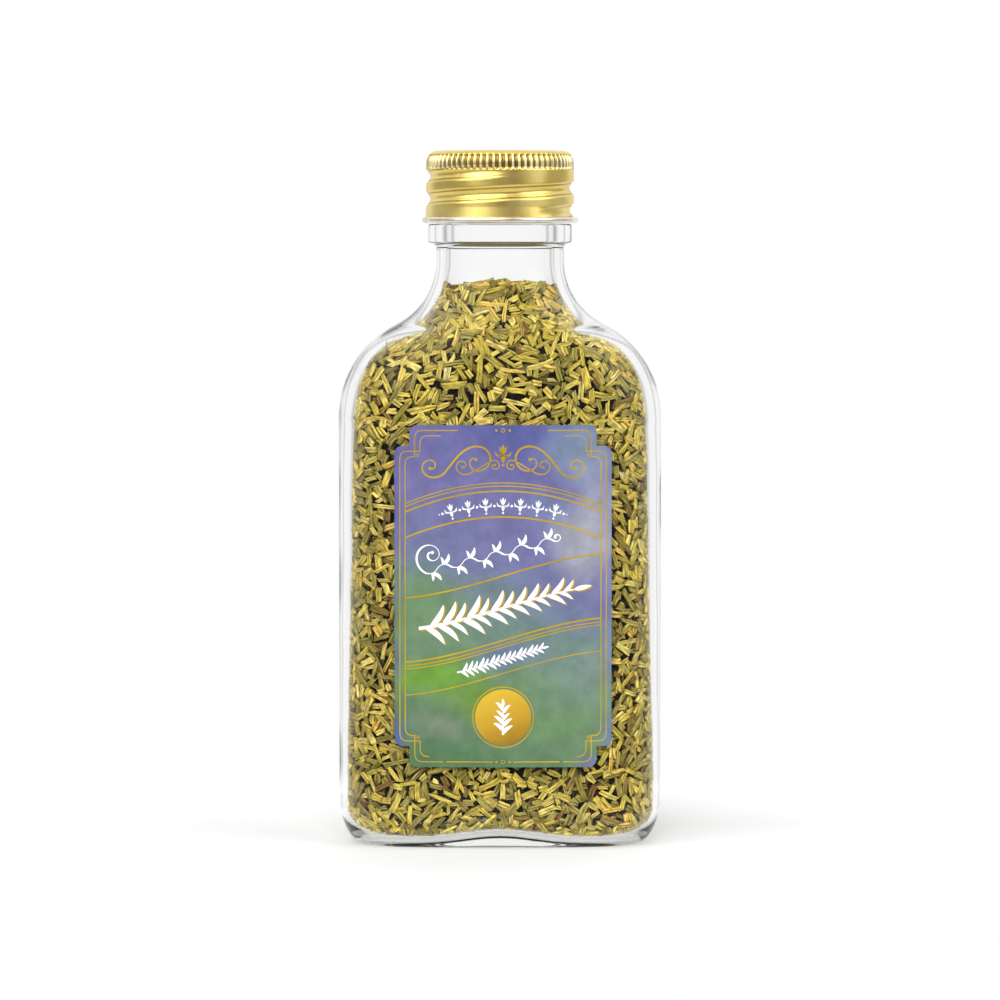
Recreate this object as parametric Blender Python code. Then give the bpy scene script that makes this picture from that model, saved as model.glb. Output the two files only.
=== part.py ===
"""A flat glass flask of cut rosemary, with a screw cap and a paper label.

Metres, +Z up. The flask stands on z = 0 with its axis on the Z axis. Its wide side runs along X,
and its labelled front faces -Y.
"""

import math

import bmesh
import bpy
import numpy as np

MM = 0.001

# Flask body, seen from the front. Half sizes are measured from the Z axis.
BODY_HALF_WIDTH = 30.6 * MM
BODY_HALF_DEPTH = 15.5 * MM
FACE_FLATNESS = 4.0  # how quickly the flat front turns into the round side
# The wall is thinnest at the heel and thickest at the shoulder.
WALL_HEIGHTS = (8.0 * MM, 70.0 * MM, 84.0 * MM, 92.0 * MM, 106.0 * MM)
WALL_THICKNESSES = (1.4 * MM, 2.4 * MM, 3.0 * MM, 2.6 * MM, 2.3 * MM)
NECK_WALL = WALL_THICKNESSES[-1]
HEEL_WIDTH = 4.4 * MM
HEEL_HEIGHT = 9.6 * MM
SHOULDER_Z = 80.8 * MM
SHOULDER_RADIUS = 19.6 * MM
NECK_FILLET_RADIUS = 13.5 * MM
DEPTH_TAPER_START_Z = 84.0 * MM
DEPTH_TAPER_END_Z = 110.0 * MM

# Base: a flat bearing ring round a shallow push-up, and the floor above it.
BEARING_WIDTH = 2.8 * MM
PUSH_UP_SLOPE_WIDTH = 4.2 * MM
PUSH_UP_SLOPE_HEIGHT = 0.6 * MM
PUSH_UP_HEIGHT = 0.8 * MM
FLOOR_Z = 1.4 * MM
FLOOR_HEEL_WIDTH = 4.4 * MM
FLOOR_HEEL_HEIGHT = 6.0 * MM
FLOOR_RISE = 0.9 * MM
FLOOR_HUMP_HEIGHT = 1.1 * MM
FLOOR_HUMP_REACH = 9.0 * MM

# Neck, collar and threaded finish.
NECK_RADIUS = 12.1 * MM
NECK_TOP_Z = 112.4 * MM
COLLAR_RADIUS = 13.6 * MM
COLLAR_BOTTOM_Z = 113.8 * MM
COLLAR_TOP_Z = 117.2 * MM
FINISH_RADIUS = 12.3 * MM
LIP_Z = 129.4 * MM
LIP_ROUNDING = 0.9 * MM
LIP_STEPS = 3
THREAD_PITCH = 25.4 / 6 * MM  # six threads per inch
THREAD_START_Z = 119.95 * MM  # the cap's groove where it crosses +X
THREAD_ROW = 0.42 * MM
THREAD_LAPS = range(-1, 3)  # the whole turns that a thread can reach
THREAD_FADE = math.radians(45)  # the turn over which a thread's end runs out
GLASS_THREAD_HEIGHT = 1.15 * MM
GLASS_THREAD_HALF_WIDTH = 1.0 * MM
GLASS_THREAD_LIFT = 1.2 * MM  # the glass thread lies this far above the cap's groove
GLASS_THREAD_TURN = (math.radians(40), math.radians(560))

# Cap: a drawn aluminium shell.
SHELL = 0.3 * MM
CAP_TOP_Z = 131.2 * MM
CAP_BOTTOM_Z = 117.5 * MM
CAP_RADIUS = 14.0 * MM
CAP_CORNER_RADIUS = 2.2 * MM
CAP_KNURL_BOTTOM_Z = 127.7 * MM
CAP_KNURL_INSET = 0.2 * MM
CAP_BEAD_RADIUS = 0.6 * MM
CAP_BEAD_STAND_OUT = 0.18 * MM
CAP_BEAD_START = math.radians(60)  # where the skirt meets the bead, above level
CAP_GROOVE_DEPTH = 0.8 * MM
CAP_GROOVE_HALF_WIDTH = 1.05 * MM
CAP_GROOVE_TURN = (math.radians(-60), math.radians(640))

# Sealing disc, held under the cap's top.
CLEARANCE = 0.3 * MM
LINER_THICKNESS = 0.9 * MM
LINER_RADIUS = 12.2 * MM

# Label, glued to the front.
LABEL_HALF_WIDTH = 20.35 * MM
LABEL_HALF_HEIGHT = 32.1 * MM
LABEL_CENTRE = (0.57 * MM, 47.7 * MM)
LABEL_THICKNESS = 0.15 * MM
LABEL_NOTCH = (2.8 * MM, 3.9 * MM)
LABEL_CORNER_RADIUS = 1.5 * MM
LABEL_NOTCH_SIDE = 0.003 * MM  # the width over which the notch steps up to full height
LABEL_COLUMNS = 24
LABEL_ARC_POINTS = 5

# Rosemary: the packed heap, then loose leaves on top of it in the neck.
FILL_GAP = 0.4 * MM
FILL_TOP_Z = 103.0 * MM
FILL_CROWN = 0.4 * MM
LEAF_LAYERS = 3
LEAF_LAYER_HEIGHT = 1.25 * MM
LEAF_LAYER_TURN = math.radians(52)
LEAF_ROW_OFFSETS = (-5.6 * MM, -2.8 * MM, 0.0, 2.8 * MM, 5.6 * MM)
LEAF_ROW_COUNTS = (2, 3, 3, 3, 2)
LEAF_AREA_RADIUS = 8.6 * MM
LEAF_END_GAP = 0.9 * MM
LEAF_SHORTEST = 0.8  # of the room that its row leaves it
LEAF_WIDTHS = (1.1 * MM, 1.6 * MM)
LEAF_THICKNESS = 0.8 * MM
# Round a leaf's section: half widths across, and shares of its thickness up.
LEAF_SECTION = ((-1.0, 0.4), (-0.6, 0.0), (0.6, 0.0), (1.0, 0.4), (0.7, 1.0), (-0.7, 1.0))
LEAF_BEND = 0.12 * MM
LEAF_MOST_TURN = math.radians(7)
LEAF_SEED = 7

RING_POINTS = 48
OUTLINE_SAMPLES = 2000
ARC_STEPS = 6
SHARP_ANGLE = math.radians(40)

GLASS = {"color": (0.86, 0.92, 0.88), "roughness": 0.02, "metallic": 0.0, "alpha": 0.35}
GOLD = {"color": (0.83, 0.66, 0.24), "roughness": 0.3, "metallic": 1.0}
LINER = {"color": (0.85, 0.85, 0.82), "roughness": 0.6, "metallic": 0.0}
PAPER = {"color": (0.34, 0.42, 0.50), "roughness": 0.6, "metallic": 0.0}
ROSEMARY = {"color": (0.42, 0.39, 0.16), "roughness": 0.8, "metallic": 0.0}


def clear_scene():
    for existing in list(bpy.data.objects):
        bpy.data.objects.remove(existing)


def make_material(name, look):
    """A Principled material for one piece."""
    material = bpy.data.materials.new(name + "_finish")
    material.use_nodes = True
    shader = material.node_tree.nodes["Principled BSDF"]
    shader.inputs["Base Color"].default_value = (*look["color"], 1.0)
    shader.inputs["Roughness"].default_value = look["roughness"]
    shader.inputs["Metallic"].default_value = look["metallic"]
    shader.inputs["Alpha"].default_value = look.get("alpha", 1.0)
    return material


def add_solid(name, points, faces, look, origin=(0.0, 0.0, 0.0)):
    """A closed solid with its faces turned outwards, and its origin where asked."""
    mesh = bpy.data.meshes.new(name)
    placed = np.asarray(points) - np.asarray(origin)
    mesh.from_pydata(placed.tolist(), [], faces)
    shape = bmesh.new()
    shape.from_mesh(mesh)
    bmesh.ops.recalc_face_normals(shape, faces=shape.faces)
    shape.to_mesh(mesh)
    shape.free()
    mesh.shade_smooth()
    mesh.set_sharp_from_angle(angle=SHARP_ANGLE)
    mesh.materials.append(make_material(name, look))
    piece = bpy.data.objects.new(name, mesh)
    piece.location = origin
    bpy.context.scene.collection.objects.link(piece)
    return piece


def loft(rings, first_point, last_point):
    """Points and faces of a skin over rings of equal length, closed by a fan at each end."""
    count = len(rings[0])
    points = [first_point]
    for ring in rings:
        points.extend(ring)
    points.append(last_point)
    last = len(points) - 1
    tail = last - count
    faces = []
    for i in range(count):
        after = (i + 1) % count
        faces.append((0, 1 + after, 1 + i))
        faces.append((last, tail + i, tail + after))
        for level in range(len(rings) - 1):
            low = 1 + level * count
            high = low + count
            faces.append((low + i, low + after, high + after, high + i))
    return np.array(points), faces


def oval_ring(half_width, half_depth, z):
    """An evenly spaced flat-sided oval: a circle whose middle is pulled apart along X."""
    turn = np.linspace(0.0, 2 * math.pi, OUTLINE_SAMPLES)
    pulled = np.tanh(FACE_FLATNESS * np.cos(turn)) / math.tanh(FACE_FLATNESS)
    x = half_depth * np.cos(turn) + (half_width - half_depth) * pulled
    y = half_depth * np.sin(turn)
    steps = np.hypot(np.diff(x), np.diff(y))
    length = np.concatenate([[0.0], np.cumsum(steps)])
    at = np.linspace(0.0, length[-1], RING_POINTS, endpoint=False)
    across = np.interp(at, length, x)
    forward = np.interp(at, length, y)
    return np.column_stack([across, forward, np.full(RING_POINTS, z)])


def turned_ring(radius, z):
    """A circle; radius is one number, or one for each point."""
    turn = ring_angles()
    return np.column_stack([radius * np.cos(turn), radius * np.sin(turn), np.full(RING_POINTS, z)])


def ring_angles():
    return np.linspace(0.0, 2 * math.pi, RING_POINTS, endpoint=False)


def half_depth_at(z):
    """Half the flask's depth at a height: full up to the shoulder, then easing into the neck."""
    share = (z - DEPTH_TAPER_START_Z) / (DEPTH_TAPER_END_Z - DEPTH_TAPER_START_Z)
    share = min(max(share, 0.0), 1.0)
    eased = share * share * (3 - 2 * share)
    return BODY_HALF_DEPTH + (NECK_RADIUS - BODY_HALF_DEPTH) * eased


def outside(_z):
    """No inset: the flask's outer face."""
    return 0.0


def wall_inset(gap):
    """The inset, by height, of a surface that keeps a gap inside the flask's wall."""
    return lambda z: gap + np.interp(z, WALL_HEIGHTS, WALL_THICKNESSES)


def shoulder_sections(inset):
    """Half width and height up the shoulder and into the neck: a convex arc, then a concave one.

    The inset is a function of the height on the outer face.
    """
    centre_x = BODY_HALF_WIDTH - SHOULDER_RADIUS
    reach = SHOULDER_RADIUS + NECK_FILLET_RADIUS
    fillet_x = NECK_RADIUS + NECK_FILLET_RADIUS
    slope = math.acos((fillet_x - centre_x) / reach)
    fillet_z = SHOULDER_Z + reach * math.sin(slope)
    sections = []
    for turn in np.linspace(0.0, slope, ARC_STEPS + 1):
        radius = SHOULDER_RADIUS - inset(SHOULDER_Z + SHOULDER_RADIUS * math.sin(turn))
        sections.append((centre_x + radius * math.cos(turn), SHOULDER_Z + radius * math.sin(turn)))
    for turn in np.linspace(slope, 0.0, ARC_STEPS + 1)[1:]:
        fillet = NECK_FILLET_RADIUS + inset(fillet_z - NECK_FILLET_RADIUS * math.sin(turn))
        sections.append((fillet_x - fillet * math.cos(turn), fillet_z - fillet * math.sin(turn)))
    return sections


def heel_sections(inset, width, bottom_z, height):
    """Half width and height round the heel: a quarter of an ellipse, from the bottom up."""
    half_width = BODY_HALF_WIDTH - inset(bottom_z + height)
    sections = []
    for turn in np.linspace(0.0, math.pi / 2, ARC_STEPS + 1):
        across = half_width - width * (1 - math.sin(turn))
        sections.append((across, bottom_z + height * (1 - math.cos(turn))))
    return sections


def body_rings(inset, heel):
    """The flask's rings from the heel to the top of the neck, moved in by the inset."""
    rings = []
    for half_width, z in heel:
        rings.append(oval_ring(half_width, BODY_HALF_DEPTH - (BODY_HALF_WIDTH - half_width), z))
    for half_width, z in shoulder_sections(inset):
        rings.append(oval_ring(half_width, min(half_depth_at(z) - inset(z), half_width), z))
    return rings


def raised_floor(ring, share):
    """A floor ring with its middle lifted by the hump that crosses the base from front to back."""
    lifted = ring.copy()
    lifted[:, 2] += share * FLOOR_HUMP_HEIGHT * np.exp(-((ring[:, 0] / FLOOR_HUMP_REACH) ** 2))
    return lifted


def cavity_rings(gap):
    """The rings of the flask's hollow from its floor to the neck, moved in by the gap."""
    floor_z = FLOOR_Z + gap
    heel = heel_sections(wall_inset(gap), FLOOR_HEEL_WIDTH, floor_z, FLOOR_HEEL_HEIGHT)
    rings = body_rings(wall_inset(gap), heel)
    for level in range(ARC_STEPS):
        rings[level] = raised_floor(rings[level], 1 - level / ARC_STEPS)
    low_width, low_depth = rings[0][0, 0], rings[0][RING_POINTS // 4, 1]
    step = low_depth / 2
    middle = raised_floor(oval_ring(low_width - step, low_depth - step, floor_z + FLOOR_RISE / 2), 1.0)
    return [middle] + rings


def thread_bump(z, start_z, turns, half_width):
    """How much of a helical thread there is round a ring at height z: 0 off the thread, 1 on its crest."""
    bump = np.zeros(RING_POINTS)
    for lap in THREAD_LAPS:
        turn = ring_angles() + 2 * math.pi * lap
        off = (z - start_z - THREAD_PITCH * turn / (2 * math.pi)) / half_width
        shape = np.where(np.abs(off) < 1, 0.5 * (1 + np.cos(math.pi * off)), 0.0)
        inside = np.minimum(turn - turns[0], turns[1] - turn) / THREAD_FADE
        bump = np.maximum(bump, shape * np.clip(inside, 0.0, 1.0))
    return bump


def rows_between(low, high):
    """Heights from low to high, about a thread row apart."""
    return np.linspace(low, high, round((high - low) / THREAD_ROW) + 1)


def finish_rings():
    """The outside above the neck: collar, threaded finish and rounded lip."""
    rings = [turned_ring(NECK_RADIUS, NECK_TOP_Z), turned_ring(COLLAR_RADIUS, COLLAR_BOTTOM_Z)]
    rings.append(turned_ring(COLLAR_RADIUS, COLLAR_TOP_Z - CLEARANCE))
    rings.append(turned_ring(COLLAR_RADIUS - CLEARANCE, COLLAR_TOP_Z))
    for z in rows_between(COLLAR_TOP_Z, LIP_Z - LIP_ROUNDING):
        start_z = THREAD_START_Z + GLASS_THREAD_LIFT
        bump = thread_bump(z, start_z, GLASS_THREAD_TURN, GLASS_THREAD_HALF_WIDTH)
        rings.append(turned_ring(FINISH_RADIUS + GLASS_THREAD_HEIGHT * bump, z))
    for turn in np.linspace(0.0, math.pi / 2, LIP_STEPS + 1)[1:]:
        radius = FINISH_RADIUS - LIP_ROUNDING * (1 - math.cos(turn))
        rings.append(turned_ring(radius, LIP_Z - LIP_ROUNDING * (1 - math.sin(turn))))
    return rings


def make_bottle():
    """The glass flask: its outside from the base up, over the lip, and down the hollow to the floor."""
    ring_width = BODY_HALF_WIDTH - HEEL_WIDTH - BEARING_WIDTH
    ring_depth = BODY_HALF_DEPTH - HEEL_WIDTH - BEARING_WIDTH
    slope_width = ring_width - PUSH_UP_SLOPE_WIDTH
    slope_depth = ring_depth - PUSH_UP_SLOPE_WIDTH
    rings = [oval_ring(slope_width, slope_depth, PUSH_UP_SLOPE_HEIGHT)]
    rings.append(oval_ring(ring_width, ring_depth, 0.0))
    rings += body_rings(outside, heel_sections(outside, HEEL_WIDTH, 0.0, HEEL_HEIGHT))
    rings += finish_rings()
    bore = NECK_RADIUS - NECK_WALL
    rings.append(turned_ring(bore + LIP_ROUNDING / 2, LIP_Z))
    rings.append(turned_ring(bore, LIP_Z - LIP_ROUNDING / 2))
    rings.append(turned_ring(bore, NECK_TOP_Z))
    rings += reversed(cavity_rings(0.0))
    floor_point = (0.0, 0.0, FLOOR_Z + FLOOR_HUMP_HEIGHT + FLOOR_RISE)
    points, faces = loft(rings, (0.0, 0.0, PUSH_UP_HEIGHT), floor_point)
    add_solid("glass_bottle", points, faces, GLASS)


def cap_skirt_rows():
    """Radius without thread, height, and whether the row can hold thread, down the cap's side."""
    corner_x = CAP_RADIUS - CAP_KNURL_INSET - CAP_CORNER_RADIUS
    corner_z = CAP_TOP_Z - CAP_CORNER_RADIUS
    rows = []
    for turn in np.linspace(math.pi / 2, 0.0, ARC_STEPS):
        across = corner_x + CAP_CORNER_RADIUS * math.cos(turn)
        rows.append((across, corner_z + CAP_CORNER_RADIUS * math.sin(turn), 0.0))
    rows.append((CAP_RADIUS - CAP_KNURL_INSET, CAP_KNURL_BOTTOM_Z + CAP_KNURL_INSET, 0.0))
    skirt_bottom_z = CAP_BOTTOM_Z + 2 * CAP_BEAD_RADIUS
    for z in rows_between(skirt_bottom_z, CAP_KNURL_BOTTOM_Z)[::-1]:
        rows.append((CAP_RADIUS, z, 1.0))
    return rows


def make_cap():
    """The cap's shell: over the top, down the threaded skirt, round the bead and back up inside."""
    rows = cap_skirt_rows()
    outer = []
    inner = []
    for radius, z, threaded in rows:
        bump = threaded * thread_bump(z, THREAD_START_Z, CAP_GROOVE_TURN, CAP_GROOVE_HALF_WIDTH)
        outer.append(turned_ring(radius - CAP_GROOVE_DEPTH * bump, z))
        lowered = min(z, CAP_TOP_Z - SHELL)
        inner.append(turned_ring(radius - SHELL - CAP_GROOVE_DEPTH * bump, lowered))
    bead_z = CAP_BOTTOM_Z + CAP_BEAD_RADIUS
    bead = []
    for turn in np.linspace(CAP_BEAD_START, -math.pi / 2, ARC_STEPS):
        across = CAP_RADIUS + CAP_BEAD_STAND_OUT + CAP_BEAD_RADIUS * math.cos(turn)
        bead.append(turned_ring(across, bead_z + CAP_BEAD_RADIUS * math.sin(turn)))
    bead.append(turned_ring(CAP_RADIUS - SHELL, CAP_BOTTOM_Z + SHELL))
    tops = [i for i, row in enumerate(rows) if row[1] > CAP_TOP_Z - SHELL]
    inner = inner[len(tops) - 1 :]
    rings = outer + bead + inner[::-1]
    points, faces = loft(rings, (0.0, 0.0, CAP_TOP_Z), (0.0, 0.0, CAP_TOP_Z - SHELL))
    add_solid("cap_shell", points, faces, GOLD, origin=(0.0, 0.0, CAP_BOTTOM_Z))


def make_liner():
    """The sealing disc between the lip and the cap's top."""
    top_z = CAP_TOP_Z - SHELL - CLEARANCE
    bottom_z = top_z - LINER_THICKNESS
    rings = [turned_ring(LINER_RADIUS, bottom_z), turned_ring(LINER_RADIUS, top_z)]
    points, faces = loft(rings, (0.0, 0.0, bottom_z), (0.0, 0.0, top_z))
    add_solid("cap_liner", points, faces, LINER, origin=(0.0, 0.0, bottom_z))


def label_half_height(from_side):
    """Half the label's height at a distance from its side edge: a tab, a notch, then full height."""
    notch_width, notch_height = LABEL_NOTCH
    half_height = LABEL_HALF_HEIGHT
    if from_side < notch_width:
        half_height -= notch_height
    else:
        from_side -= notch_width
    short = max(LABEL_CORNER_RADIUS - from_side, 0.0)
    return half_height - LABEL_CORNER_RADIUS + math.sqrt(LABEL_CORNER_RADIUS**2 - short**2)


def label_columns():
    """Distances from the label's side edge, closer together round the corners."""
    notch_width = LABEL_NOTCH[0]
    turns = np.linspace(0, math.pi / 2, LABEL_ARC_POINTS)
    arc = [LABEL_CORNER_RADIUS * (1 - math.cos(turn)) for turn in turns]
    columns = arc + [notch_width - LABEL_NOTCH_SIDE] + [notch_width + step for step in arc]
    plain = np.linspace(columns[-1], LABEL_HALF_WIDTH, LABEL_COLUMNS // 2)[1:]
    return columns + list(plain)


def front_face_y(x):
    """Where the flask's front face lies, by distance from its middle."""
    turn = np.linspace(math.pi, 1.5 * math.pi, OUTLINE_SAMPLES)
    pulled = np.tanh(FACE_FLATNESS * np.cos(turn)) / math.tanh(FACE_FLATNESS)
    across = BODY_HALF_DEPTH * np.cos(turn) + (BODY_HALF_WIDTH - BODY_HALF_DEPTH) * pulled
    return float(np.interp(-abs(x), across, BODY_HALF_DEPTH * np.sin(turn)))


def make_label():
    """The paper label: a thin sheet that follows the front face, with stepped corners."""
    left = [(-LABEL_HALF_WIDTH + step, label_half_height(step)) for step in label_columns()]
    right = [(-across, half_height) for across, half_height in reversed(left[:-1])]
    centre_x, centre_z = LABEL_CENTRE
    points = []
    for across, half_height in left + right:
        x = centre_x + across
        back_y = front_face_y(x) - CLEARANCE
        for y in (back_y, back_y - LABEL_THICKNESS):
            points.append((x, y, centre_z - half_height))
            points.append((x, y, centre_z + half_height))
    faces = []
    columns = len(points) // 4
    for column in range(columns - 1):
        here = 4 * column
        there = here + 4
        for a, b in ((0, 1), (1, 3), (3, 2), (2, 0)):
            faces.append((here + a, here + b, there + b, there + a))
    last = 4 * (columns - 1)
    faces.append((0, 1, 3, 2))
    faces.append((last, last + 2, last + 3, last + 1))
    add_solid("front_label", points, faces, PAPER)


def make_fill():
    """The packed heap of leaves, clear of the glass by the fill gap, with a low crown."""
    rings = [ring for ring in cavity_rings(FILL_GAP) if ring[:, 2].max() < FILL_TOP_Z]
    inset = wall_inset(FILL_GAP)
    sections = shoulder_sections(inset)
    half_width = np.interp(FILL_TOP_Z, [z for _, z in sections], [width for width, _ in sections])
    half_depth = min(half_depth_at(FILL_TOP_Z) - inset(FILL_TOP_Z), half_width)
    rings.append(oval_ring(half_width, half_depth, FILL_TOP_Z))
    floor_point = (0.0, 0.0, FLOOR_Z + FILL_GAP + FLOOR_HUMP_HEIGHT + FLOOR_RISE)
    points, faces = loft(rings, floor_point, (0.0, 0.0, FILL_TOP_Z + FILL_CROWN))
    add_solid("rosemary_fill", points, faces, ROSEMARY)


def leaf_rings(length, width):
    """A cut leaf along X: a flat top, rolled edges and a slight bend, with blunt ends."""
    rings = []
    for share in (-0.5, 0.0, 0.5):
        bend = LEAF_BEND * (1 - 4 * share * share)
        ring = []
        for across, up in LEAF_SECTION:
            ring.append((share * length, across * width / 2 + bend, (up - 0.5) * LEAF_THICKNESS))
        rings.append(ring)
    return rings


def add_leaf(name, place, turn, length, width):
    """One loose leaf, lying level at its place and turned about the vertical."""
    rings = leaf_rings(length, width)
    ends = [np.mean(rings[0], axis=0), np.mean(rings[-1], axis=0)]
    points, faces = loft(rings, ends[0], ends[1])
    spin = np.array([[math.cos(turn), math.sin(turn)], [-math.sin(turn), math.cos(turn)]])
    points[:, :2] = points[:, :2] @ spin
    add_solid(name, points + np.array(place), faces, ROSEMARY, origin=place)


def make_leaves():
    """The loose leaves in the neck: crossing layers of short rows on top of the heap."""
    draw = np.random.default_rng(LEAF_SEED)
    number = 0
    for layer in range(LEAF_LAYERS):
        z = FILL_TOP_Z + FILL_CROWN + CLEARANCE + LEAF_THICKNESS / 2 + layer * LEAF_LAYER_HEIGHT
        layer_turn = layer * LEAF_LAYER_TURN
        for offset, count in zip(LEAF_ROW_OFFSETS, LEAF_ROW_COUNTS, strict=True):
            chord = 2 * math.sqrt(LEAF_AREA_RADIUS**2 - offset**2)
            room = chord / count
            for place in range(count):
                number += 1
                along = (place + 0.5) * room - chord / 2
                x = along * math.cos(layer_turn) - offset * math.sin(layer_turn)
                y = along * math.sin(layer_turn) + offset * math.cos(layer_turn)
                turn = layer_turn + draw.uniform(-LEAF_MOST_TURN, LEAF_MOST_TURN)
                length = (room - LEAF_END_GAP) * draw.uniform(LEAF_SHORTEST, 1.0)
                width = draw.uniform(*LEAF_WIDTHS)
                add_leaf(f"rosemary_leaf_{number:02d}", (x, y, z), turn, length, width)


def main():
    clear_scene()
    make_bottle()
    make_cap()
    make_liner()
    make_label()
    make_fill()
    make_leaves()


main()
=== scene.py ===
"""Looks of a flat glass flask of cut rosemary, with a gold screw cap and a printed label.

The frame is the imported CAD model, in metres, with +Z up and the labelled front facing -Y. Each
visible piece is built here in full detail on the sizes that the frame gives.
"""

import math

import bpy
import numpy as np
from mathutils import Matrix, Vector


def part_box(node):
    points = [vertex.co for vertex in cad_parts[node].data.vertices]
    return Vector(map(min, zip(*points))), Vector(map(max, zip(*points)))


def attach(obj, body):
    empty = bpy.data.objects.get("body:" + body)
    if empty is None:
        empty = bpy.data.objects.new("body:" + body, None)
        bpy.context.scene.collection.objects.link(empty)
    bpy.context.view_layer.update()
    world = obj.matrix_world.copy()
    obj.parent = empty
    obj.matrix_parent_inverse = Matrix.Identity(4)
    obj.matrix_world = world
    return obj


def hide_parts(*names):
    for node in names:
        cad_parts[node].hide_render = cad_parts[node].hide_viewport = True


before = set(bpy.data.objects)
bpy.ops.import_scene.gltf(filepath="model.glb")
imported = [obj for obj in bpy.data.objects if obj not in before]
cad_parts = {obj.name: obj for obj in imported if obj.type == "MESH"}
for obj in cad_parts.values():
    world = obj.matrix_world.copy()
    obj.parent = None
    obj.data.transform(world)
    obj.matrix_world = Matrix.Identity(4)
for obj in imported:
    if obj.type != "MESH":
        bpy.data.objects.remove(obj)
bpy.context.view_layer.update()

MM = 0.001
TURN = 2 * math.pi

# Places and sizes that the frame gives.
_, GLASS_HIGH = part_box("glass_bottle")
CAP_LOW, CAP_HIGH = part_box("cap_shell")
LINER_LOW, LINER_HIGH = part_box("cap_liner")
LABEL_LOW, LABEL_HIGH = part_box("front_label")
LEAVES_TOP = max(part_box(name)[1].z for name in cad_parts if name.startswith("rosemary_leaf"))

# Flask. The outside is the CAD's, with finer steps; the wall is slimmer over the shoulder and neck.
GLASS_POINTS = 192
BODY_HALF_WIDTH = GLASS_HIGH.x
BODY_HALF_DEPTH = GLASS_HIGH.y
FACE_FLATNESS = 4.0
OUTLINE_SAMPLES = 4000
WALL_HEIGHTS = (8.0 * MM, 70.0 * MM, 84.0 * MM, 97.0 * MM)
WALL_THICKNESSES = (1.4 * MM, 2.4 * MM, 2.8 * MM, 1.9 * MM)
NECK_WALL = WALL_THICKNESSES[-1]
HEEL_WIDTH = 4.4 * MM
HEEL_HEIGHT = 9.6 * MM
SHOULDER_Z = 80.8 * MM
SHOULDER_MARGIN = 5.0 * MM
SHOULDER_RADIUS = 19.6 * MM
NECK_FILLET_RADIUS = 13.5 * MM
DEPTH_TAPER = (84.0 * MM, 110.0 * MM)
BEARING_WIDTH = 2.8 * MM
PUSH_UP_SLOPE_WIDTH = 4.2 * MM
PUSH_UP_SLOPE_HEIGHT = 0.6 * MM
PUSH_UP_HEIGHT = 0.8 * MM
FLOOR_Z = 1.4 * MM
FLOOR_HEEL_WIDTH = 4.4 * MM
FLOOR_HEEL_HEIGHT = 6.0 * MM
FLOOR_RISE = 0.9 * MM
FLOOR_HUMP_HEIGHT = 1.1 * MM
FLOOR_HUMP_REACH = 9.0 * MM
NECK_RADIUS = 12.1 * MM
NECK_TOP_Z = 112.8 * MM
COLLAR_RADIUS = 13.6 * MM
COLLAR_Z = (113.8 * MM, 117.35 * MM)
COLLAR_EDGE = 0.35 * MM
FINISH_RADIUS = 12.3 * MM
LIP_Z = GLASS_HIGH.z
LIP_ROUNDING = 0.9 * MM

# Screw thread, shared by the glass and the cap.
THREAD_PITCH = 25.4 / 6 * MM
THREAD_START_Z = 119.95 * MM
THREAD_FADE = math.radians(45)
THREAD_LAPS = range(-1, 3)
THREAD_ROW = 0.15 * MM
CAP_ROW = 0.11 * MM
GLASS_THREAD = {"height": 1.15 * MM, "half_width": 1.0 * MM, "lift": 1.2 * MM, "turn": (40, 560)}
CAP_THREAD = {"height": 0.82 * MM, "half_width": 1.6 * MM, "lift": 0.0, "turn": (-60, 640)}
CAP_CREASES = {"height": 0.16 * MM, "half_width": 0.2 * MM, "turn": (-60, 640)}
CAP_CREASE_LIFTS = (-0.98 * MM, 0.95 * MM)


# ---------------------------------------------------------------- meshes


def add_mesh(name, points, faces, materials, node, body, face_materials=None, sharp=None):
    """A mesh piece that rides on a body. Faces are lists of point numbers."""
    mesh = bpy.data.meshes.new(name)
    points = np.asarray(points, float)
    corners = np.concatenate([np.asarray(face, np.int32) for face in faces])
    sizes = np.array([len(face) for face in faces])
    return finish_mesh(mesh, points, corners, sizes, materials, node, body, face_materials, sharp)


def finish_mesh(mesh, points, corners, sizes, materials, node, body, face_materials, sharp):
    """Fill a mesh from flat arrays, give it its materials and link it to its body."""
    mesh.vertices.add(len(points))
    mesh.vertices.foreach_set("co", points.astype(np.float32).ravel())
    mesh.loops.add(len(corners))
    mesh.loops.foreach_set("vertex_index", corners.astype(np.int32))
    mesh.polygons.add(len(sizes))
    starts = np.concatenate([[0], np.cumsum(sizes)[:-1]]).astype(np.int32)
    mesh.polygons.foreach_set("loop_start", starts)
    for material in materials:
        mesh.materials.append(material)
    if face_materials is not None:
        mesh.polygons.foreach_set("material_index", np.asarray(face_materials, np.int32))
    mesh.update(calc_edges=True)
    mesh.shade_smooth()
    if sharp is not None:
        mesh.set_sharp_from_angle(angle=math.radians(sharp))
    piece = bpy.data.objects.new(mesh.name, mesh)
    bpy.context.scene.collection.objects.link(piece)
    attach(piece, body)
    if node:
        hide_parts(*node)
    return piece


def set_values(mesh, name, values, kind="FLOAT", domain="POINT"):
    """Give a mesh a named number, or a vector, at each of its points or faces."""
    field = "vector" if kind == "FLOAT_VECTOR" else "value"
    values = np.asarray(values, bool if kind == "BOOLEAN" else np.float32)
    mesh.attributes.new(name, kind, domain).data.foreach_set(field, values.ravel())


def lay_out(mesh, places):
    """Give each corner of a mesh its place in the square that textures are baked into."""
    mesh.uv_layers.new(name="OFBake").data.foreach_set("uv", places.astype(np.float32).ravel())


def travelled(path):
    """How far along a path each of its points is."""
    return np.concatenate([[0.0], np.cumsum(np.linalg.norm(np.diff(path, axis=0), axis=1))])


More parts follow.
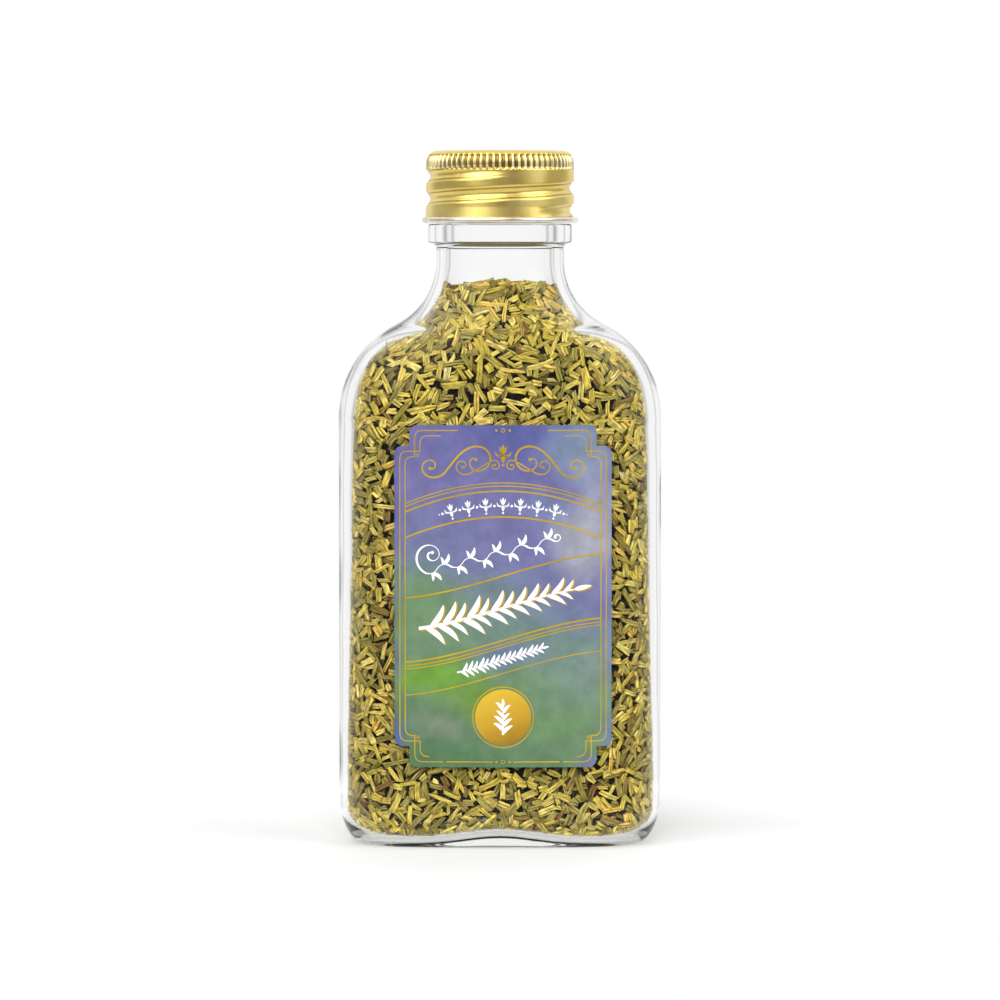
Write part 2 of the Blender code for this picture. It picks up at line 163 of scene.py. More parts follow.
def loft(rings, first_point=None, last_point=None, loop=False):
    """Points and faces of a skin over equal rings, each end closed by a fan, or joined in a loop."""
    count = len(rings[0])
    points = np.concatenate([np.asarray(ring, float) for ring in rings])
    here = np.arange(count)
    after = np.roll(here, -1)
    faces = []
    levels = len(rings) if loop else len(rings) - 1
    for level in range(levels):
        low = level * count
        high = (level + 1) % len(rings) * count
        faces.extend(np.column_stack([low + here, low + after, high + after, high + here]).tolist())
    if first_point is not None:
        points = np.vstack([points, first_point])
        centre = len(points) - 1
        faces.extend([centre, int(after[i]), i] for i in range(count))
    if last_point is not None:
        points = np.vstack([points, last_point])
        centre = len(points) - 1
        low = (len(rings) - 1) * count
        faces.extend([centre, low + i, low + int(after[i])] for i in range(count))
    return points, faces


def oval_ring(half_width, half_depth, z, count=GLASS_POINTS):
    """An evenly spaced flat-sided oval: a circle whose middle is pulled apart along X."""
    turn = np.linspace(0.0, TURN, OUTLINE_SAMPLES)
    pulled = np.tanh(FACE_FLATNESS * np.cos(turn)) / math.tanh(FACE_FLATNESS)
    x = half_depth * np.cos(turn) + (half_width - half_depth) * pulled
    y = half_depth * np.sin(turn)
    length = np.concatenate([[0.0], np.cumsum(np.hypot(np.diff(x), np.diff(y)))])
    at = np.linspace(0.0, length[-1], count, endpoint=False)
    return np.column_stack([np.interp(at, length, x), np.interp(at, length, y), np.full(count, z)])


def turned_ring(radius, z, count=GLASS_POINTS):
    """A circle; radius is one number, or one for each point."""
    turn = np.linspace(0.0, TURN, count, endpoint=False)
    return np.column_stack([radius * np.cos(turn), radius * np.sin(turn), np.full(count, z)])


def thread_bump(z, thread, count):
    """How much thread there is round a ring at height z: 0 off the thread, 1 on its crest."""
    bump = np.zeros(count)
    first, last = (math.radians(turn) for turn in thread["turn"])
    for lap in THREAD_LAPS:
        turn = np.linspace(0.0, TURN, count, endpoint=False) + TURN * lap
        off = (z - THREAD_START_Z - thread["lift"] - THREAD_PITCH * turn / TURN) / thread["half_width"]
        shape = np.where(np.abs(off) < 1, 0.5 * (1 + np.cos(math.pi * off)), 0.0)
        inside = np.minimum(turn - first, last - turn) / THREAD_FADE
        bump = np.maximum(bump, shape * np.clip(inside, 0.0, 1.0))
    return bump * thread["height"]


# ---------------------------------------------------------------- materials


def rgba(colour):
    """A screen colour, 0 to 255, as linear light with full alpha."""
    shares = [part / 255 for part in colour]
    linear = [s / 12.92 if s <= 0.04045 else ((s + 0.055) / 1.055) ** 2.4 for s in shares]
    return (*linear, 1.0)


def even(value):
    """A colour of equal parts."""
    return (value, value, value, 1.0)


class Graph:
    """The node tree of a material or a world, with short ways to add to it."""

    def __init__(self, owner):
        owner.use_nodes = True
        self.owner = owner
        self.nodes = owner.node_tree.nodes
        self.nodes.clear()

    def put(self, socket, value):
        """Feed a socket from another socket, or give it a value."""
        if isinstance(value, bpy.types.NodeSocket):
            self.owner.node_tree.links.new(value, socket)
        else:
            socket.default_value = value

    def node(self, kind, *values, **settings):
        """A node, its first inputs in order, and its properties and other inputs by name."""
        node = self.nodes.new("ShaderNode" + kind)
        for key, value in settings.items():
            if hasattr(node, key):
                setattr(node, key, value)
            else:
                self.put(node.inputs[key.replace("_", " ")], value)
        for socket, value in zip(node.inputs, values, strict=False):
            self.put(socket, value)
        return node

    def math(self, operation, *values):
        """A math node's result."""
        return self.node("Math", *values, operation=operation).outputs[0]

    def vector(self, operation, *values):
        """A vector math node's result, which is a number for a length or a dot product."""
        result = "Value" if operation in ("LENGTH", "DOT_PRODUCT") else "Vector"
        return self.node("VectorMath", *values, operation=operation).outputs[result]

    def parts(self, vector):
        """A vector's three numbers."""
        return self.node("SeparateXYZ", vector).outputs

    def grey(self, value):
        """A colour, or a vector, of three equal parts."""
        return self.node("CombineXYZ", value, value, value).outputs[0]

    def mix(self, share, first, second, blend="MIX"):
        """Two colours mixed by a share."""
        node = self.node("Mix", share, data_type="RGBA", blend_type=blend)
        self.put(node.inputs[6], first)
        self.put(node.inputs[7], second)
        return node.outputs[2]

    def either(self, share, first, second):
        """Two shaders mixed by a share."""
        return self.node("MixShader", share, first.outputs[0], second.outputs[0]).outputs[0]

    def range(self, value, low, high, to_low=0.0, to_high=1.0, kind="SMOOTHSTEP"):
        """A value's place between low and high, eased unless linear, from to_low to to_high."""
        return self.node("MapRange", value, low, high, to_low, to_high, interpolation_type=kind).outputs[0]

    def ramp(self, value, stops):
        """The screen colour at a value; stops are pairs of a place and a colour."""
        node = self.node("ValToRGB", value)
        elements = node.color_ramp.elements
        while len(elements) > 1:
            elements.remove(elements[-1])
        elements[0].position = stops[0][0]
        elements[0].color = rgba(stops[0][1])
        for place, colour in stops[1:]:
            elements.new(place).color = rgba(colour)
        return node.outputs[0]

    def noise(self, vector, scale, detail=2.0, roughness=0.5, output="Fac"):
        """A noise texture's value over a vector."""
        node = self.node("TexNoise", Vector=vector, Scale=scale, Detail=detail, Roughness=roughness)
        return node.outputs[output]

    def bump(self, height, strength, distance):
        """A bump node's normal."""
        return self.node("Bump", Height=height, Strength=strength, Distance=distance).outputs[0]

    def attribute(self, name, output="Fac"):
        """What the mesh carries under a name."""
        return self.node("Attribute", attribute_name=name).outputs[output]

    def place(self):
        """The point's place on its own mesh, which at rest is its place in the frame."""
        return self.node("TexCoord").outputs["Object"]

    def finish(self, **settings):
        """End the material in one Principled shader."""
        shader = self.node("BsdfPrincipled", **settings)
        self.node("OutputMaterial", Surface=shader.outputs[0])
        return self.owner


def new_graph(name):
    """The emptied node tree of a new material."""
    return Graph(bpy.data.materials.new(name))


GLASS_TINT = (0.86, 0.89, 0.86, 1.0)  # what its depth lets through
GLASS_SHADOW = (0.98, 0.99, 0.98, 1.0)


def make_glass():
    """Flint glass: clear, faintly green in depth. Shadow rays pass, so that light reaches the leaves."""
    graph = new_graph("flint_glass")
    ripple = graph.bump(graph.noise(graph.place(), 60.0, detail=1.0), 0.2, 0.001)
    shader = graph.node("BsdfPrincipled", Base_Color=even(1.0), Roughness=0.0, Normal=ripple, IOR=1.5)
    shader.inputs["Transmission Weight"].default_value = 1.0
    shader.inputs["Specular Tint"].default_value = even(0.25)
    clear = graph.node("BsdfTransparent", GLASS_SHADOW)
    surface = graph.either(graph.node("LightPath").outputs["Is Shadow Ray"], shader, clear)
    depth = graph.node("VolumeAbsorption", Color=GLASS_TINT, Density=30.0)
    graph.node("OutputMaterial", Surface=surface, Volume=depth.outputs[0])
    return graph.owner


def make_gold():
    """Gold-lacquered aluminium: satin, a little uneven, with a few tiny dark specks.

    The mesh carries "pressed", 0 to 1 into the flutes and grooves, which darkens them as painted shade, and,
    on the flutes' ridges, a value for a painted highlight.
    """
    graph = new_graph("gold_aluminium")
    place = graph.place()
    patch = graph.noise(place, 180.0, detail=3.0)
    tone = graph.ramp(patch, ((0.3, (232, 204, 108)), (0.55, (245, 219, 130)), (0.75, (250, 230, 152))))
    cells = graph.node("TexVoronoi", Vector=place, Scale=420.0)
    speck = graph.range(cells.outputs["Distance"], 0.03, 0.05, 1.0, 0.0)
    rare = graph.range(graph.noise(place, 260.0), 0.66, 0.7)
    # Painted shade: darker into the flutes and the thread's creases, by "pressed".
    recess_shade = graph.range(graph.attribute("pressed"), 0.25, 1.0, 0.0, 0.85)
    colour = graph.mix(recess_shade, tone, rgba((134, 112, 42)))
    # Painted highlight: near white on the flutes' ridges.
    colour = graph.mix(graph.attribute("ridge_highlight"), colour, rgba((255, 252, 232)))
    colour = graph.mix(graph.math("MULTIPLY", speck, rare), colour, rgba((70, 50, 15)))
    rough = graph.range(patch, 0.3, 0.7, 0.28, 0.36)
    grain = graph.bump(graph.noise(place, 2600.0), 0.12, 0.00008)
    return graph.finish(Base_Color=colour, Metallic=1.0, Roughness=rough, Normal=grain)


def make_foam():
    """The liner's expanded foam, off-white and finely pitted."""
    graph = new_graph("liner_foam")
    pits = graph.noise(graph.place(), 2200.0, detail=3.0)
    tone = graph.ramp(pits, ((0.35, (214, 212, 202)), (0.65, (238, 236, 228))))
    return graph.finish(Base_Color=tone, Roughness=0.7, Normal=graph.bump(pits, 0.4, 0.0001))


def make_patchy(name, scale, low_tone, high_tone, roughness, metallic):
    """A plain finish whose tone drifts between two colours, for bare metal, ink and foil."""
    graph = new_graph(name)
    tone = graph.ramp(graph.noise(graph.place(), scale), ((0.35, low_tone), (0.65, high_tone)))
    return graph.finish(Base_Color=tone, Roughness=roughness, Metallic=metallic)


LEAF_TONES = (
    (0.00, (130, 95, 42)),
    (0.03, (148, 110, 46)),
    (0.07, (141, 127, 48)),
    (0.20, (166, 150, 58)),
    (0.30, (180, 166, 84)),
    (0.42, (206, 182, 68)),
    (0.58, (226, 198, 80)),
    (0.78, (242, 216, 100)),
    (0.90, (250, 226, 124)),
    (0.97, (246, 200, 80)),
    (1.00, (234, 216, 142)),
)
LEAF_STRETCH = (2.2, 90.0, 0.45)  # how the streaks' noise runs across a leaf, between leaves and along


def make_leaf_material():
    """Dried rosemary: each leaf has its own tone, a groove darkened by painted shade, edges lightened by a
    painted highlight, and a felted underside.

    The mesh carries "tint", which picks the leaf's tone, "leaf", where a point is across the leaf
    (-1 to 1), up through it (0 to 1) and along it in millimetres, "groove", how deep its groove is,
    and "open", which falls from 1 to 0 towards the inside of the heap, where it darkens the leaf as
    painted shade.
    """
    graph = new_graph("dried_leaf")
    tint = graph.attribute("tint")
    across, up, along = graph.parts(graph.attribute("leaf", "Vector"))
    tone = graph.ramp(tint, LEAF_TONES)
    parts = zip((across, tint, along), LEAF_STRETCH, strict=True)
    stretched = graph.node("CombineXYZ", *(graph.math("MULTIPLY", part, pull) for part, pull in parts))
    streak = graph.noise(stretched.outputs[0], 1.6, detail=3.0, roughness=0.6)
    shade = graph.range(streak, 0.36, 0.64, 0.42, 1.2)
    side = graph.math("ABSOLUTE", across)
    # Painted shade along the middle of a grooved leaf.
    off_groove = graph.range(side, 0.04, 0.2)
    dark = graph.math("MULTIPLY", graph.math("SUBTRACT", 1.0, off_groove), graph.attribute("groove"))
    groove = graph.math("MULTIPLY_ADD", dark, -0.75, 1.0)
    # Painted highlight towards the leaf's edges.
    edge = graph.range(side, 0.5, 0.85, 0.92, 1.2)
    underside = graph.range(up, 0.3, 0.45, 1.0, 0.0)
    felt = graph.mix(underside, tone, rgba((196, 180, 96)))
    # Painted shade: the deeper a leaf lies in the heap, the darker it is, by "open".
    bare = graph.range(graph.attribute("open"), 0.0, 1.0, 0.03, 1.0, "LINEAR")
    light = graph.math("MULTIPLY", graph.math("MULTIPLY", shade, groove), edge)
    light = graph.math("MULTIPLY", light, bare)
    colour = graph.mix(1.0, graph.mix(0.35, tone, felt), graph.grey(light), "MULTIPLY")
    fibres = graph.bump(streak, 0.35, 0.00012)
    return graph.finish(Base_Color=colour, Roughness=0.5, Specular_IOR_Level=0.35, Normal=fibres)


def make_crumb_material():
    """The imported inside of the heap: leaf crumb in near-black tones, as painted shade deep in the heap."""
    graph = new_graph("leaf_crumb")
    crumbs = graph.noise(graph.place(), 900.0, detail=3.0)
    # Painted shade: near-black tones for the inside of the heap.
    tone = graph.ramp(crumbs, ((0.35, (20, 13, 5)), (0.55, (40, 29, 12)), (0.75, (66, 52, 22))))
    return graph.finish(Base_Color=tone, Roughness=0.9, Normal=graph.bump(crumbs, 0.8, 0.0004))


# The label's ground, from its low left to its high right: millimetres from the middle, and colour.
LABEL_SLOPE = 0.375
LABEL_GROUND = (
    (-36.0, (86, 121, 88)), (-24.0, (104, 134, 102)), (-12.0, (113, 143, 111)), (-4.0, (112, 138, 132)),
    (4.0, (118, 124, 164)), (14.0, (120, 118, 168)), (26.0, (112, 111, 167)), (36.0, (100, 104, 165)),
)  # fmt: skip
# Washes of watercolour on it: place and reach in millimetres from its middle, colour, depth.
LABEL_WASHES = (
    ((2.0, 31.0), (9.0, 6.0), (90, 96, 158), 0.7),
    ((15.0, 27.0), (9.0, 8.0), (134, 152, 176), 0.85),
    ((18.0, 16.0), (8.0, 12.0), (160, 165, 186), 0.85),
    ((15.5, 10.0), (8.0, 9.0), (172, 174, 184), 0.8),
    ((8.0, 16.0), (7.0, 5.0), (122, 140, 174), 0.5),
    ((-15.0, -1.0), (10.0, 7.0), (114, 148, 98), 0.75),
    ((-4.0, 2.0), (12.0, 4.0), (116, 136, 130), 0.6),
    ((2.0, -11.0), (9.0, 4.0), (110, 124, 168), 0.8),
    ((16.0, -14.0), (10.0, 9.0), (124, 146, 140), 0.7),
    ((-13.0, -15.5), (11.0, 4.5), (114, 162, 60), 0.95),
    ((-4.0, -19.0), (9.0, 4.5), (110, 146, 58), 0.85),
    ((-12.0, -25.0), (7.0, 3.0), (134, 140, 124), 0.6),
    ((9.0, -25.0), (10.0, 5.0), (110, 146, 94), 0.6),
    ((-6.0, -31.0), (11.0, 4.0), (84, 122, 82), 0.75),
    ((-20.8, -27.0), (3.2, 7.0), (80, 100, 170), 0.9),
    ((20.5, -26.0), (2.4, 7.0), (108, 132, 170), 0.8),
    ((-20.6, 20.0), (2.0, 14.0), (92, 94, 178), 0.6),
    ((20.5, -6.0), (2.4, 14.0), (126, 140, 190), 0.7),
    ((-20.8, -8.0), (2.2, 16.0), (84, 108, 150), 0.6),
    ((17.0, -33.0), (5.0, 4.0), (112, 120, 172), 0.8),
)


LABEL_DRIFT = 8.0 * MM  # how far the watercolour's edges wander; half of it is their mean shift
PAPER_LIGHT = (0.7, 0.9)  # the print's darkest and lightest cloud


def make_label_paper():
    """Smooth coated paper with a soft watercolour print."""
    graph = new_graph("label_paper")
    place = graph.place()
    middle = (LABEL_LOW + LABEL_HIGH) / 2
    shift = LABEL_DRIFT / 2
    drift = graph.noise(place, 90.0, detail=3.0, output="Color")
    shifted = graph.vector("MULTIPLY_ADD", drift, (LABEL_DRIFT,) * 3, place)
    x, _, z = graph.parts(shifted)
    slope = graph.math("MULTIPLY_ADD", x, LABEL_SLOPE, z)
    first, last = LABEL_GROUND[0][0], LABEL_GROUND[-1][0]
    centre = middle.z + shift * (1 + LABEL_SLOPE)
    rise = graph.range(slope, centre + first * MM, centre + last * MM, kind="LINEAR")
    colour = graph.ramp(rise, [((d - first) / (last - first), tone) for d, tone in LABEL_GROUND])
    for (x, z), (wide, high), tone, depth in LABEL_WASHES:
        spot = (middle.x + x * MM + shift, 0.0, middle.z + z * MM + shift)
        reach = (wide * MM, 1.0, high * MM)
        local = graph.node("Mapping", vector_type="TEXTURE", Vector=shifted, Location=spot, Scale=reach)
        share = graph.range(graph.vector("LENGTH", local.outputs[0]), 0.15, 1.15, depth, 0.0)
        colour = graph.mix(share, colour, rgba(tone))
    cloud = graph.noise(place, 260.0, detail=4.0, roughness=0.6)
    light = graph.range(cloud, 0.3, 0.7, *PAPER_LIGHT)
    colour = graph.mix(1.0, colour, graph.grey(light), "MULTIPLY")
    fibre = graph.bump(graph.noise(place, 3000.0), 0.08, 0.00005)
    return graph.finish(Base_Color=colour, Roughness=0.5, Specular_IOR_Level=0.3, Normal=fibre)


def make_disc_foil(centre_z):
    """The gold disc's foil: lighter above, deeper below, as brushed gold catches the light."""
    graph = new_graph("disc_gold")
    place = graph.place()
    x, _, z = graph.parts(place)
    fall = graph.math("MULTIPLY_ADD", x, -0.35, z)
    drift = graph.math("MULTIPLY_ADD", graph.noise(place, 700.0, detail=3.0), 2.2 * MM, fall)
    height = graph.range(drift, centre_z - 5.0 * MM, centre_z + 5.5 * MM, kind="LINEAR")
    tone = graph.ramp(height, ((0.0, (142, 106, 16)), (0.45, (188, 147, 34)), (1.0, (214, 175, 52))))
    return graph.finish(Base_Color=tone, Roughness=0.45, Metallic=0.15)


# ---------------------------------------------------------------- camera, floor and light

CAMERA_PLACE = (0.0, -1050 * MM, 118.5 * MM)
CAMERA_LENS = 199.3
MIDDLE = (0.0, 0.0, 65.0 * MM)  # what the camera and the lamps look at


def aim(thing, place):
    """Put a camera or a lamp at a place, looking at the object's middle."""
    way = np.array(MIDDLE) - np.array(place)
    thing.location = place
    tilt = math.pi / 2 + math.atan2(way[2], math.hypot(way[0], way[1]))
    thing.rotation_euler = (tilt, 0.0, math.atan2(-way[0], way[1]))
    bpy.context.scene.collection.objects.link(thing)


def make_camera():
    """The camera of the photo: far away, a little above the object, with a long lens."""
    camera = bpy.data.objects.new("camera", bpy.data.cameras.new("camera"))
    camera.data.sensor_width = 36.0
    camera.data.lens = CAMERA_LENS
    camera.data.clip_end = 20.0
    aim(camera, CAMERA_PLACE)
    bpy.context.scene.camera = camera


# Softboxes: name, place, width and height, power.
SOFTBOXES = (
    ("key", (-0.02, -1.0, 0.42), (0.5, 0.3), 5.9),
    ("fill", (0.7, -0.6, 0.35), (0.35, 0.6), 1.0),
    ("back", (0.1, 0.9, 0.7), (0.9, 0.5), 3.2),
)


def make_lights():
    """Soft lamps that light the object but don't show in its glass or metal."""
    for name, place, size, power in SOFTBOXES:
        lamp = bpy.data.lights.new(name, "AREA")
        lamp.shape = "RECTANGLE"
        lamp.size, lamp.size_y = size
        lamp.energy = power
        box = bpy.data.objects.new(name, lamp)
        box.visible_glossy = False
        box.visible_transmission = False
        aim(box, place)


# The studio by the sideways part of a way: dark and light stripes, each a span and its brightness
# at either end, added up. They draw the lines in the glass's clear border.
STUDIO_STRIPES = ((0.3, 0.36, 0.97, 0.6), (0.38, 0.45, 0.0, 0.38), (0.68, 0.86, 0.0, -0.55))
# Bright patches of the studio that the surfaces mirror: the way to each, the cosines of the angles
# at which it is full and gone, and its power.
WORLD_LAMPS = (
    ((-0.45, -0.62, 0.64), 0.9, 0.78, 2.4),
    ((0.78, -0.38, 0.5), 0.95, 0.88, 2.1),
)
FRONT_LEVEL = 0.26  # the share of light left straight behind the camera
UNDER_LEVEL = 0.72  # the share left under the horizon, on the camera's side
TABLE_LEVEL = 0.75  # the table, further down, is at least this bright
FRONT_THROUGH_GLASS = 0.7  # the studio's front is never darker than this through glass
LAMPS_LOST_IN_GLASS = 0.85  # the share of a bright patch that doesn't pass glass
LOST_ON_MATT = 0.5  # the share of the studio's light that matt surfaces don't get


def make_world():
    """White behind the object; a graded grey studio in what the surfaces reflect and bend."""
    graph = Graph(bpy.data.worlds.new("studio"))
    way = graph.node("TexCoord").outputs["Generated"]
    x, y, z = graph.parts(way)
    path = graph.node("LightPath").outputs
    side = graph.math("ABSOLUTE", x)
    level = 0.0
    for stripe in STUDIO_STRIPES:
        level = graph.math("ADD", level, graph.range(side, *stripe))
    front = graph.range(y, -0.95, -0.2, FRONT_LEVEL, 1.0)
    through = graph.math("MULTIPLY", path["Is Transmission Ray"], FRONT_THROUGH_GLASS)
    front = graph.math("MAXIMUM", front, through)
    under = graph.range(z, -0.12, 0.0, UNDER_LEVEL, 1.0)
    lit = graph.math("MAXIMUM", under, graph.range(y, -0.2, 0.3))
    level = graph.math("MULTIPLY", graph.math("MULTIPLY", level, front), lit)
    level = graph.math("MAXIMUM", level, graph.range(z, -0.35, -0.2, TABLE_LEVEL, 0.0))
    kept = graph.math("MULTIPLY_ADD", path["Is Transmission Ray"], -LAMPS_LOST_IN_GLASS, 1.0)
    for axis, full, gone, power in WORLD_LAMPS:
        glow = graph.range(graph.vector("DOT_PRODUCT", way, axis), gone, full, 0.0, power)
        level = graph.math("ADD", level, graph.math("MULTIPLY", glow, kept))
    soft = graph.math("MULTIPLY_ADD", path["Is Diffuse Ray"], -LOST_ON_MATT, 1.0)
    studio = graph.node("Background", graph.grey(graph.math("MULTIPLY", level, soft)))
    white = graph.node("Background", even(1.0))
    graph.node("OutputWorld", Surface=graph.either(path["Is Camera Ray"], studio, white))
    bpy.context.scene.world = graph.owner


FLOOR_RADIUS = 0.18
FLOOR_FADE = (0.045, 0.17)


def make_floor():
    """A pale round floor that fades into the white of the studio."""
    graph = new_graph("studio_floor")
    gone = graph.range(graph.vector("LENGTH", graph.place()), *FLOOR_FADE)
    pale = graph.node("BsdfDiffuse", even(0.96))
    clear = graph.node("BsdfTransparent", even(1.0))
    graph.node("OutputMaterial", Surface=graph.either(gone, pale, clear))
    mesh = bpy.data.meshes.new("studio_floor")
    rim = turned_ring(FLOOR_RADIUS, 0.0)
    mesh.from_pydata(rim.tolist(), [], [list(range(len(rim)))])
    mesh.materials.append(graph.owner)
    floor = bpy.data.objects.new("studio_floor", mesh)
    bpy.context.scene.collection.objects.link(floor)


# ---------------------------------------------------------------- flask


def half_depth_at(z):
    """Half the flask's depth at a height: full up to the shoulder, then easing into the neck."""
    share = np.clip((z - DEPTH_TAPER[0]) / (DEPTH_TAPER[1] - DEPTH_TAPER[0]), 0.0, 1.0)
    return BODY_HALF_DEPTH + (NECK_RADIUS - BODY_HALF_DEPTH) * share * share * (3 - 2 * share)


def arc_steps(first, last, step):
    """Angles from first to last, no further apart than the step in degrees."""
    count = max(2, math.ceil(abs(last - first) / math.radians(step)) + 1)
    return np.linspace(first, last, count)


def eased(place, knots, values):
    """A value that eases from each knot's to the next, level at every knot."""
    level = np.interp(place, knots, np.arange(len(knots)))
    low = np.clip(np.floor(level).astype(int), 0, len(knots) - 2)
    share = level - low
    first = np.take(values, low)
    return first + (np.take(values, low + 1) - first) * share * share * (3 - 2 * share)


def outside(_z):
    """No inset: the flask's outer face."""
    return 0.0


def wall_inset(gap):
    """The inset, by height, of a surface that keeps a gap inside the flask's wall."""
    return lambda z: gap + eased(z, WALL_HEIGHTS, WALL_THICKNESSES)


def body_sections(inset, heel_width, bottom_z, heel_height, step=3.0, rise=2.0 * MM):
    """Half width, half depth and height up the body: heel, side, shoulder arc and neck arc."""
    side_bottom = bottom_z + heel_height
    sections = []
    for turn in arc_steps(0.0, math.pi / 2, step):
        in_from_side = inset(side_bottom) + heel_width * (1 - math.sin(turn))
        z = bottom_z + heel_height * (1 - math.cos(turn))
        sections.append((BODY_HALF_WIDTH - in_from_side, BODY_HALF_DEPTH - in_from_side, z))
    for z in np.linspace(side_bottom, SHOULDER_Z, math.ceil((SHOULDER_Z - side_bottom) / rise))[1:-1]:
        sections.append((BODY_HALF_WIDTH - inset(z), BODY_HALF_DEPTH - inset(z), z))
    centre_x = BODY_HALF_WIDTH - SHOULDER_RADIUS
    fillet_x = NECK_RADIUS + NECK_FILLET_RADIUS
    reach = SHOULDER_RADIUS + NECK_FILLET_RADIUS
    slope = math.acos((fillet_x - centre_x) / reach)
    fillet_z = SHOULDER_Z + reach * math.sin(slope)
    arcs = []
    for turn in arc_steps(0.0, slope, step):
        radius = SHOULDER_RADIUS - inset(SHOULDER_Z + SHOULDER_RADIUS * math.sin(turn))
        arcs.append((centre_x + radius * math.cos(turn), SHOULDER_Z + radius * math.sin(turn)))
    for turn in arc_steps(slope, 0.0, step)[1:]:
        radius = NECK_FILLET_RADIUS + inset(fillet_z - NECK_FILLET_RADIUS * math.sin(turn))
        arcs.append((fillet_x - radius * math.cos(turn), fillet_z - radius * math.sin(turn)))
    for across, z in arcs:
        sections.append((across, min(half_depth_at(z) - inset(z), across), z))
    return sections


def cavity_sections(gap, step=3.0, rise=2.0 * MM):
    """The hollow's sections from its floor to the neck, moved in by the gap."""
    return body_sections(wall_inset(gap), FLOOR_HEEL_WIDTH, FLOOR_Z + gap, FLOOR_HEEL_HEIGHT, step, rise)


def lift_floor(ring, share):
    """A floor ring with its middle lifted by the hump that crosses the base from front to back."""
    lifted = ring.copy()
    lifted[:, 2] += share * FLOOR_HUMP_HEIGHT * np.exp(-((ring[:, 0] / FLOOR_HUMP_REACH) ** 2))
    return lifted


def cavity_rings(inset, count, step=3.0, rise=2.0 * MM):
    """Rings of the hollow, with its humped floor, from the heel's foot upwards."""
    rings = []
    for across, depth, z in cavity_sections(inset, step, rise):
        if z >= SHOULDER_Z:
            break
        ring = oval_ring(across, depth, z, count)
        share = np.clip(1 - (z - FLOOR_Z - inset) / FLOOR_HEEL_HEIGHT, 0.0, 1.0)
        rings.append(lift_floor(ring, share))
    return rings + shoulder_hollow(inset, count, step)


def shoulder_hollow(gap, count, step):
    """The hollow's rings over the shoulder: the outside, moved in square to itself by the wall."""
    sections = body_sections(outside, HEEL_WIDTH, 0.0, HEEL_HEIGHT, step)
    sections = [section for section in sections if section[2] > SHOULDER_Z - SHOULDER_MARGIN]
    sections.append((NECK_RADIUS, NECK_RADIUS, NECK_TOP_Z))
    grid = np.array([oval_ring(*section, count) for section in sections])
    heights = grid[:, 0, 2]
    _, _, inward = grid_frames(grid, True)
    moved = grid + inward * wall_inset(gap)(heights)[:, None, None]
    return list(moved[:-1][heights[:-1] >= SHOULDER_Z])


def collar_rings():
    """The moulded collar under the cap: a cove up from the neck, then a band with eased edges."""
    low, high = COLLAR_Z
    rings = [turned_ring(NECK_RADIUS, NECK_TOP_Z - 1.0 * MM)]
    cove = COLLAR_RADIUS - NECK_RADIUS - COLLAR_EDGE
    for turn in arc_steps(0.0, math.pi / 2, 15):
        radius = NECK_RADIUS + cove * (1 - math.cos(turn))
        rings.append(turned_ring(radius, NECK_TOP_Z + (low - NECK_TOP_Z) * math.sin(turn)))
    for turn in arc_steps(-math.pi / 2, 0.0, 15)[1:]:
        radius = COLLAR_RADIUS - COLLAR_EDGE * (1 - math.cos(turn))
        rings.append(turned_ring(radius, low + COLLAR_EDGE * (1 + math.sin(turn))))
    for turn in arc_steps(0.0, math.pi / 2, 15):
        radius = COLLAR_RADIUS - COLLAR_EDGE * (1 - math.cos(turn))
        rings.append(turned_ring(radius, high - COLLAR_EDGE * (1 - math.sin(turn))))
    return rings


def finish_rings():
    """The threaded finish and its rounded lip."""
    rings = []
    count = round((LIP_Z - LIP_ROUNDING - COLLAR_Z[1]) / THREAD_ROW)
    for z in np.linspace(COLLAR_Z[1], LIP_Z - LIP_ROUNDING, count):
        rings.append(turned_ring(FINISH_RADIUS + thread_bump(z, GLASS_THREAD, GLASS_POINTS), z))
    for turn in arc_steps(0.0, math.pi / 2, 15)[1:]:
        radius = FINISH_RADIUS - LIP_ROUNDING * (1 - math.cos(turn))
        rings.append(turned_ring(radius, LIP_Z - LIP_ROUNDING * (1 - math.sin(turn))))
    return rings


def base_rings():
    """The underside: push-up, its slope, and the flat bearing ring."""
    foot_width = BODY_HALF_WIDTH - HEEL_WIDTH - BEARING_WIDTH
    foot_depth = BODY_HALF_DEPTH - HEEL_WIDTH - BEARING_WIDTH
    rings = []
    for share in np.linspace(0.25, 1.0, 5):
        in_width = foot_width - PUSH_UP_SLOPE_WIDTH
        in_depth = foot_depth - PUSH_UP_SLOPE_WIDTH
        z = PUSH_UP_SLOPE_HEIGHT + (PUSH_UP_HEIGHT - PUSH_UP_SLOPE_HEIGHT) * (1 - share**2)
        rings.append(oval_ring(share * in_width, share * in_depth, z))
    for turn in arc_steps(0.0, math.pi, 20)[1:]:
        share = 0.5 * (1 - math.cos(turn))
        width = foot_width - PUSH_UP_SLOPE_WIDTH * (1 - turn / math.pi)
        depth = foot_depth - PUSH_UP_SLOPE_WIDTH * (1 - turn / math.pi)
        rings.append(oval_ring(width, depth, PUSH_UP_SLOPE_HEIGHT * (1 - share)))
    return rings


